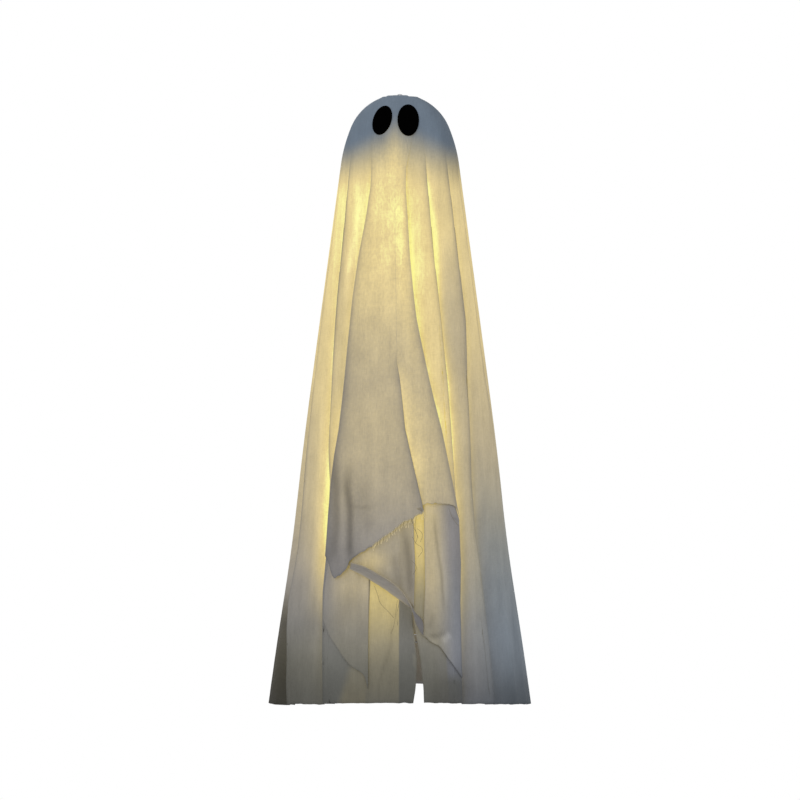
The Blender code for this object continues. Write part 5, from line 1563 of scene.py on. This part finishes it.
def add_lamps(work):
    walked = 0.0
    next_lamp = BEAD_SPACING / 2
    count = 0
    for start, end in zip(winding, winding[1:]):
        step = (end - start).length
        while walked + step >= next_lamp:
            place = start.lerp(end, (next_lamp - walked) / step)
            angle = np.degrees(np.arctan2(place.x, -place.y)) % 360
            if min(abs(angle - upright) for upright in UPRIGHT_ANGLES) > CLEAR_OF_UPRIGHT_ANGLE:
                along = (end - start).to_track_quat('Z', 'Y').to_matrix().to_4x4()
                shape = Matrix.Translation(place) @ along @ Matrix.Diagonal((1, 1, BEAD_STRETCH, 1))
                bmesh.ops.create_uvsphere(work, u_segments=12, v_segments=8, radius=BEAD_RADIUS,
                                          matrix=shape)
                count += 1
            next_lamp += BEAD_SPACING
        walked += step
    return count


small_parts("lamp_beads", resin_finish(), add_lamps)

# %% [markdown]
# Where an upright crosses a hoop the real frame is welded. A small bead of metal on each crossing
# says so and bridges the gap that the model keeps between them.

# %% Weld beads
WELD_RADIUS = 0.0013
WELD_STRETCH = 1.3
HOOPS = 4


def add_welds(work):
    for number in range(1, HOOPS + 1):
        hoop_low, hoop_high = box_of(f"hoop_{number}")
        crossing = (hoop_high.x - hoop_low.x) / 2 + GAP / 2
        for angle in UPRIGHT_ANGLES:
            place = around(crossing, angle, (hoop_low.z + hoop_high.z) / 2)
            shape = Matrix.Translation(place) @ Matrix.Diagonal((1, 1, WELD_STRETCH, 1))
            bmesh.ops.create_icosphere(work, subdivisions=2, radius=WELD_RADIUS, matrix=shape)
    return HOOPS * len(UPRIGHT_ANGLES)


small_parts("weld_beads", frame_steel, add_welds)

# %% [markdown]
# The camera stands level with the middle of the ghost and far off, as a long lens does, so that the
# outline shows hardly any perspective. One pixel of an 800 pixel frame is then 1.5 mm on the ghost.
# Soft, plain light comes from all round, with a little more from above. The floor is a pale disc
# that fades out, and the background is white only for what the camera, gloss and glass see.

# %% Camera, lights and floor
CAMERA_DISTANCE = 10.0
LENS = 300
SENSOR = 36
FRAME_MIDDLE = -0.4563
FLOOR_HEIGHT = -1.90
FLOOR_RADIUS = 3.6
FLOOR_FADE_START = 0.9
FLOOR_FADE_SHARE = 0.95
WORLD_STRENGTH = 0.84
SOFT_LAMP_SIZE = 3.0
SOFT_LAMPS = {"front_lamp": ((-2.0, -4.0, 1.2), 38), "side_lamp": ((3.2, -1.5, 1.6), 18),
              "back_lamp": ((0.5, 3.6, 1.5), 26)}

camera_data = bpy.data.cameras.new("camera")
camera_data.lens = LENS
camera_data.sensor_width = SENSOR
camera = bpy.data.objects.new("camera", camera_data)
camera.location = (0, -CAMERA_DISTANCE, FRAME_MIDDLE)
camera.rotation_euler = (pi / 2, 0, 0)
bpy.context.collection.objects.link(camera)
bpy.context.scene.camera = camera
bpy.context.scene.view_settings.view_transform = 'Standard'


for name, (place, energy) in SOFT_LAMPS.items():
    lamp_data = bpy.data.lights.new(name, 'AREA')
    lamp_data.energy = energy
    lamp_data.size = SOFT_LAMP_SIZE
    lamp = bpy.data.objects.new(name, lamp_data)
    lamp.location = place
    aim = Vector((0, 0, FRAME_MIDDLE)) - Vector(place)
    lamp.rotation_euler = aim.to_track_quat('-Z', 'Y').to_euler()
    bpy.context.collection.objects.link(lamp)


def seen_directly(tree):
    """1 for camera, glossy and transmission rays, 0 for the rays that light the object."""
    path = tree.nodes.new('ShaderNodeLightPath')
    total = path.outputs['Is Camera Ray']
    for name in ('Is Glossy Ray', 'Is Transmission Ray'):
        step = tree.nodes.new('ShaderNodeMath')
        step.operation = 'MAXIMUM'
        tree.links.new(total, step.inputs[0])
        tree.links.new(path.outputs[name], step.inputs[1])
        total = step.outputs[0]
    return total


world = bpy.data.worlds.new("studio")
world.use_nodes = True
bpy.context.scene.world = world
world_tree = world.node_tree
background = world_tree.nodes["Background"]
background.inputs["Color"].default_value = (1, 1, 1, 1)
strength = world_tree.nodes.new('ShaderNodeMapRange')
world_tree.links.new(seen_directly(world_tree), strength.inputs["Value"])
strength.inputs["To Min"].default_value = WORLD_STRENGTH
strength.inputs["To Max"].default_value = 1.0
world_tree.links.new(strength.outputs[0], background.inputs["Strength"])

floor_work = bmesh.new()
bmesh.ops.create_circle(floor_work, cap_ends=True, radius=FLOOR_RADIUS, segments=96)
floor_mesh = bpy.data.meshes.new("floor")
floor_work.to_mesh(floor_mesh)
floor_work.free()
floor = bpy.data.objects.new("floor", floor_mesh)
floor.location = (0, 0, FLOOR_HEIGHT)
bpy.context.collection.objects.link(floor)
floor_finish = Finish("pale_floor", roughness=0.8)
off_centre = floor_finish.node('ShaderNodeVectorMath', {'operation': 'LENGTH'},
                               {0: floor_finish.place()}, output='Value')
floor_finish.shade("Base Color", (0.86, 0.86, 0.86))
fade_end = FLOOR_RADIUS * FLOOR_FADE_SHARE
floor_finish.shade("Alpha", 1 - off_centre.stretched(FLOOR_FADE_START, fade_end))
floor_mesh.materials.append(floor_finish.material)
floor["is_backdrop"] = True
print("camera", tuple(round(x, 3) for x in camera.location), "floor", FLOOR_HEIGHT)

# %% [markdown]
# At the end the box of the dressed ghost is printed, to set beside the model's box printed at the start.

# %% Finish
dressed_box = [list(corner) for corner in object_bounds()]
print("dressed box", [[round(x, 4) for x in corner] for corner in dressed_box])
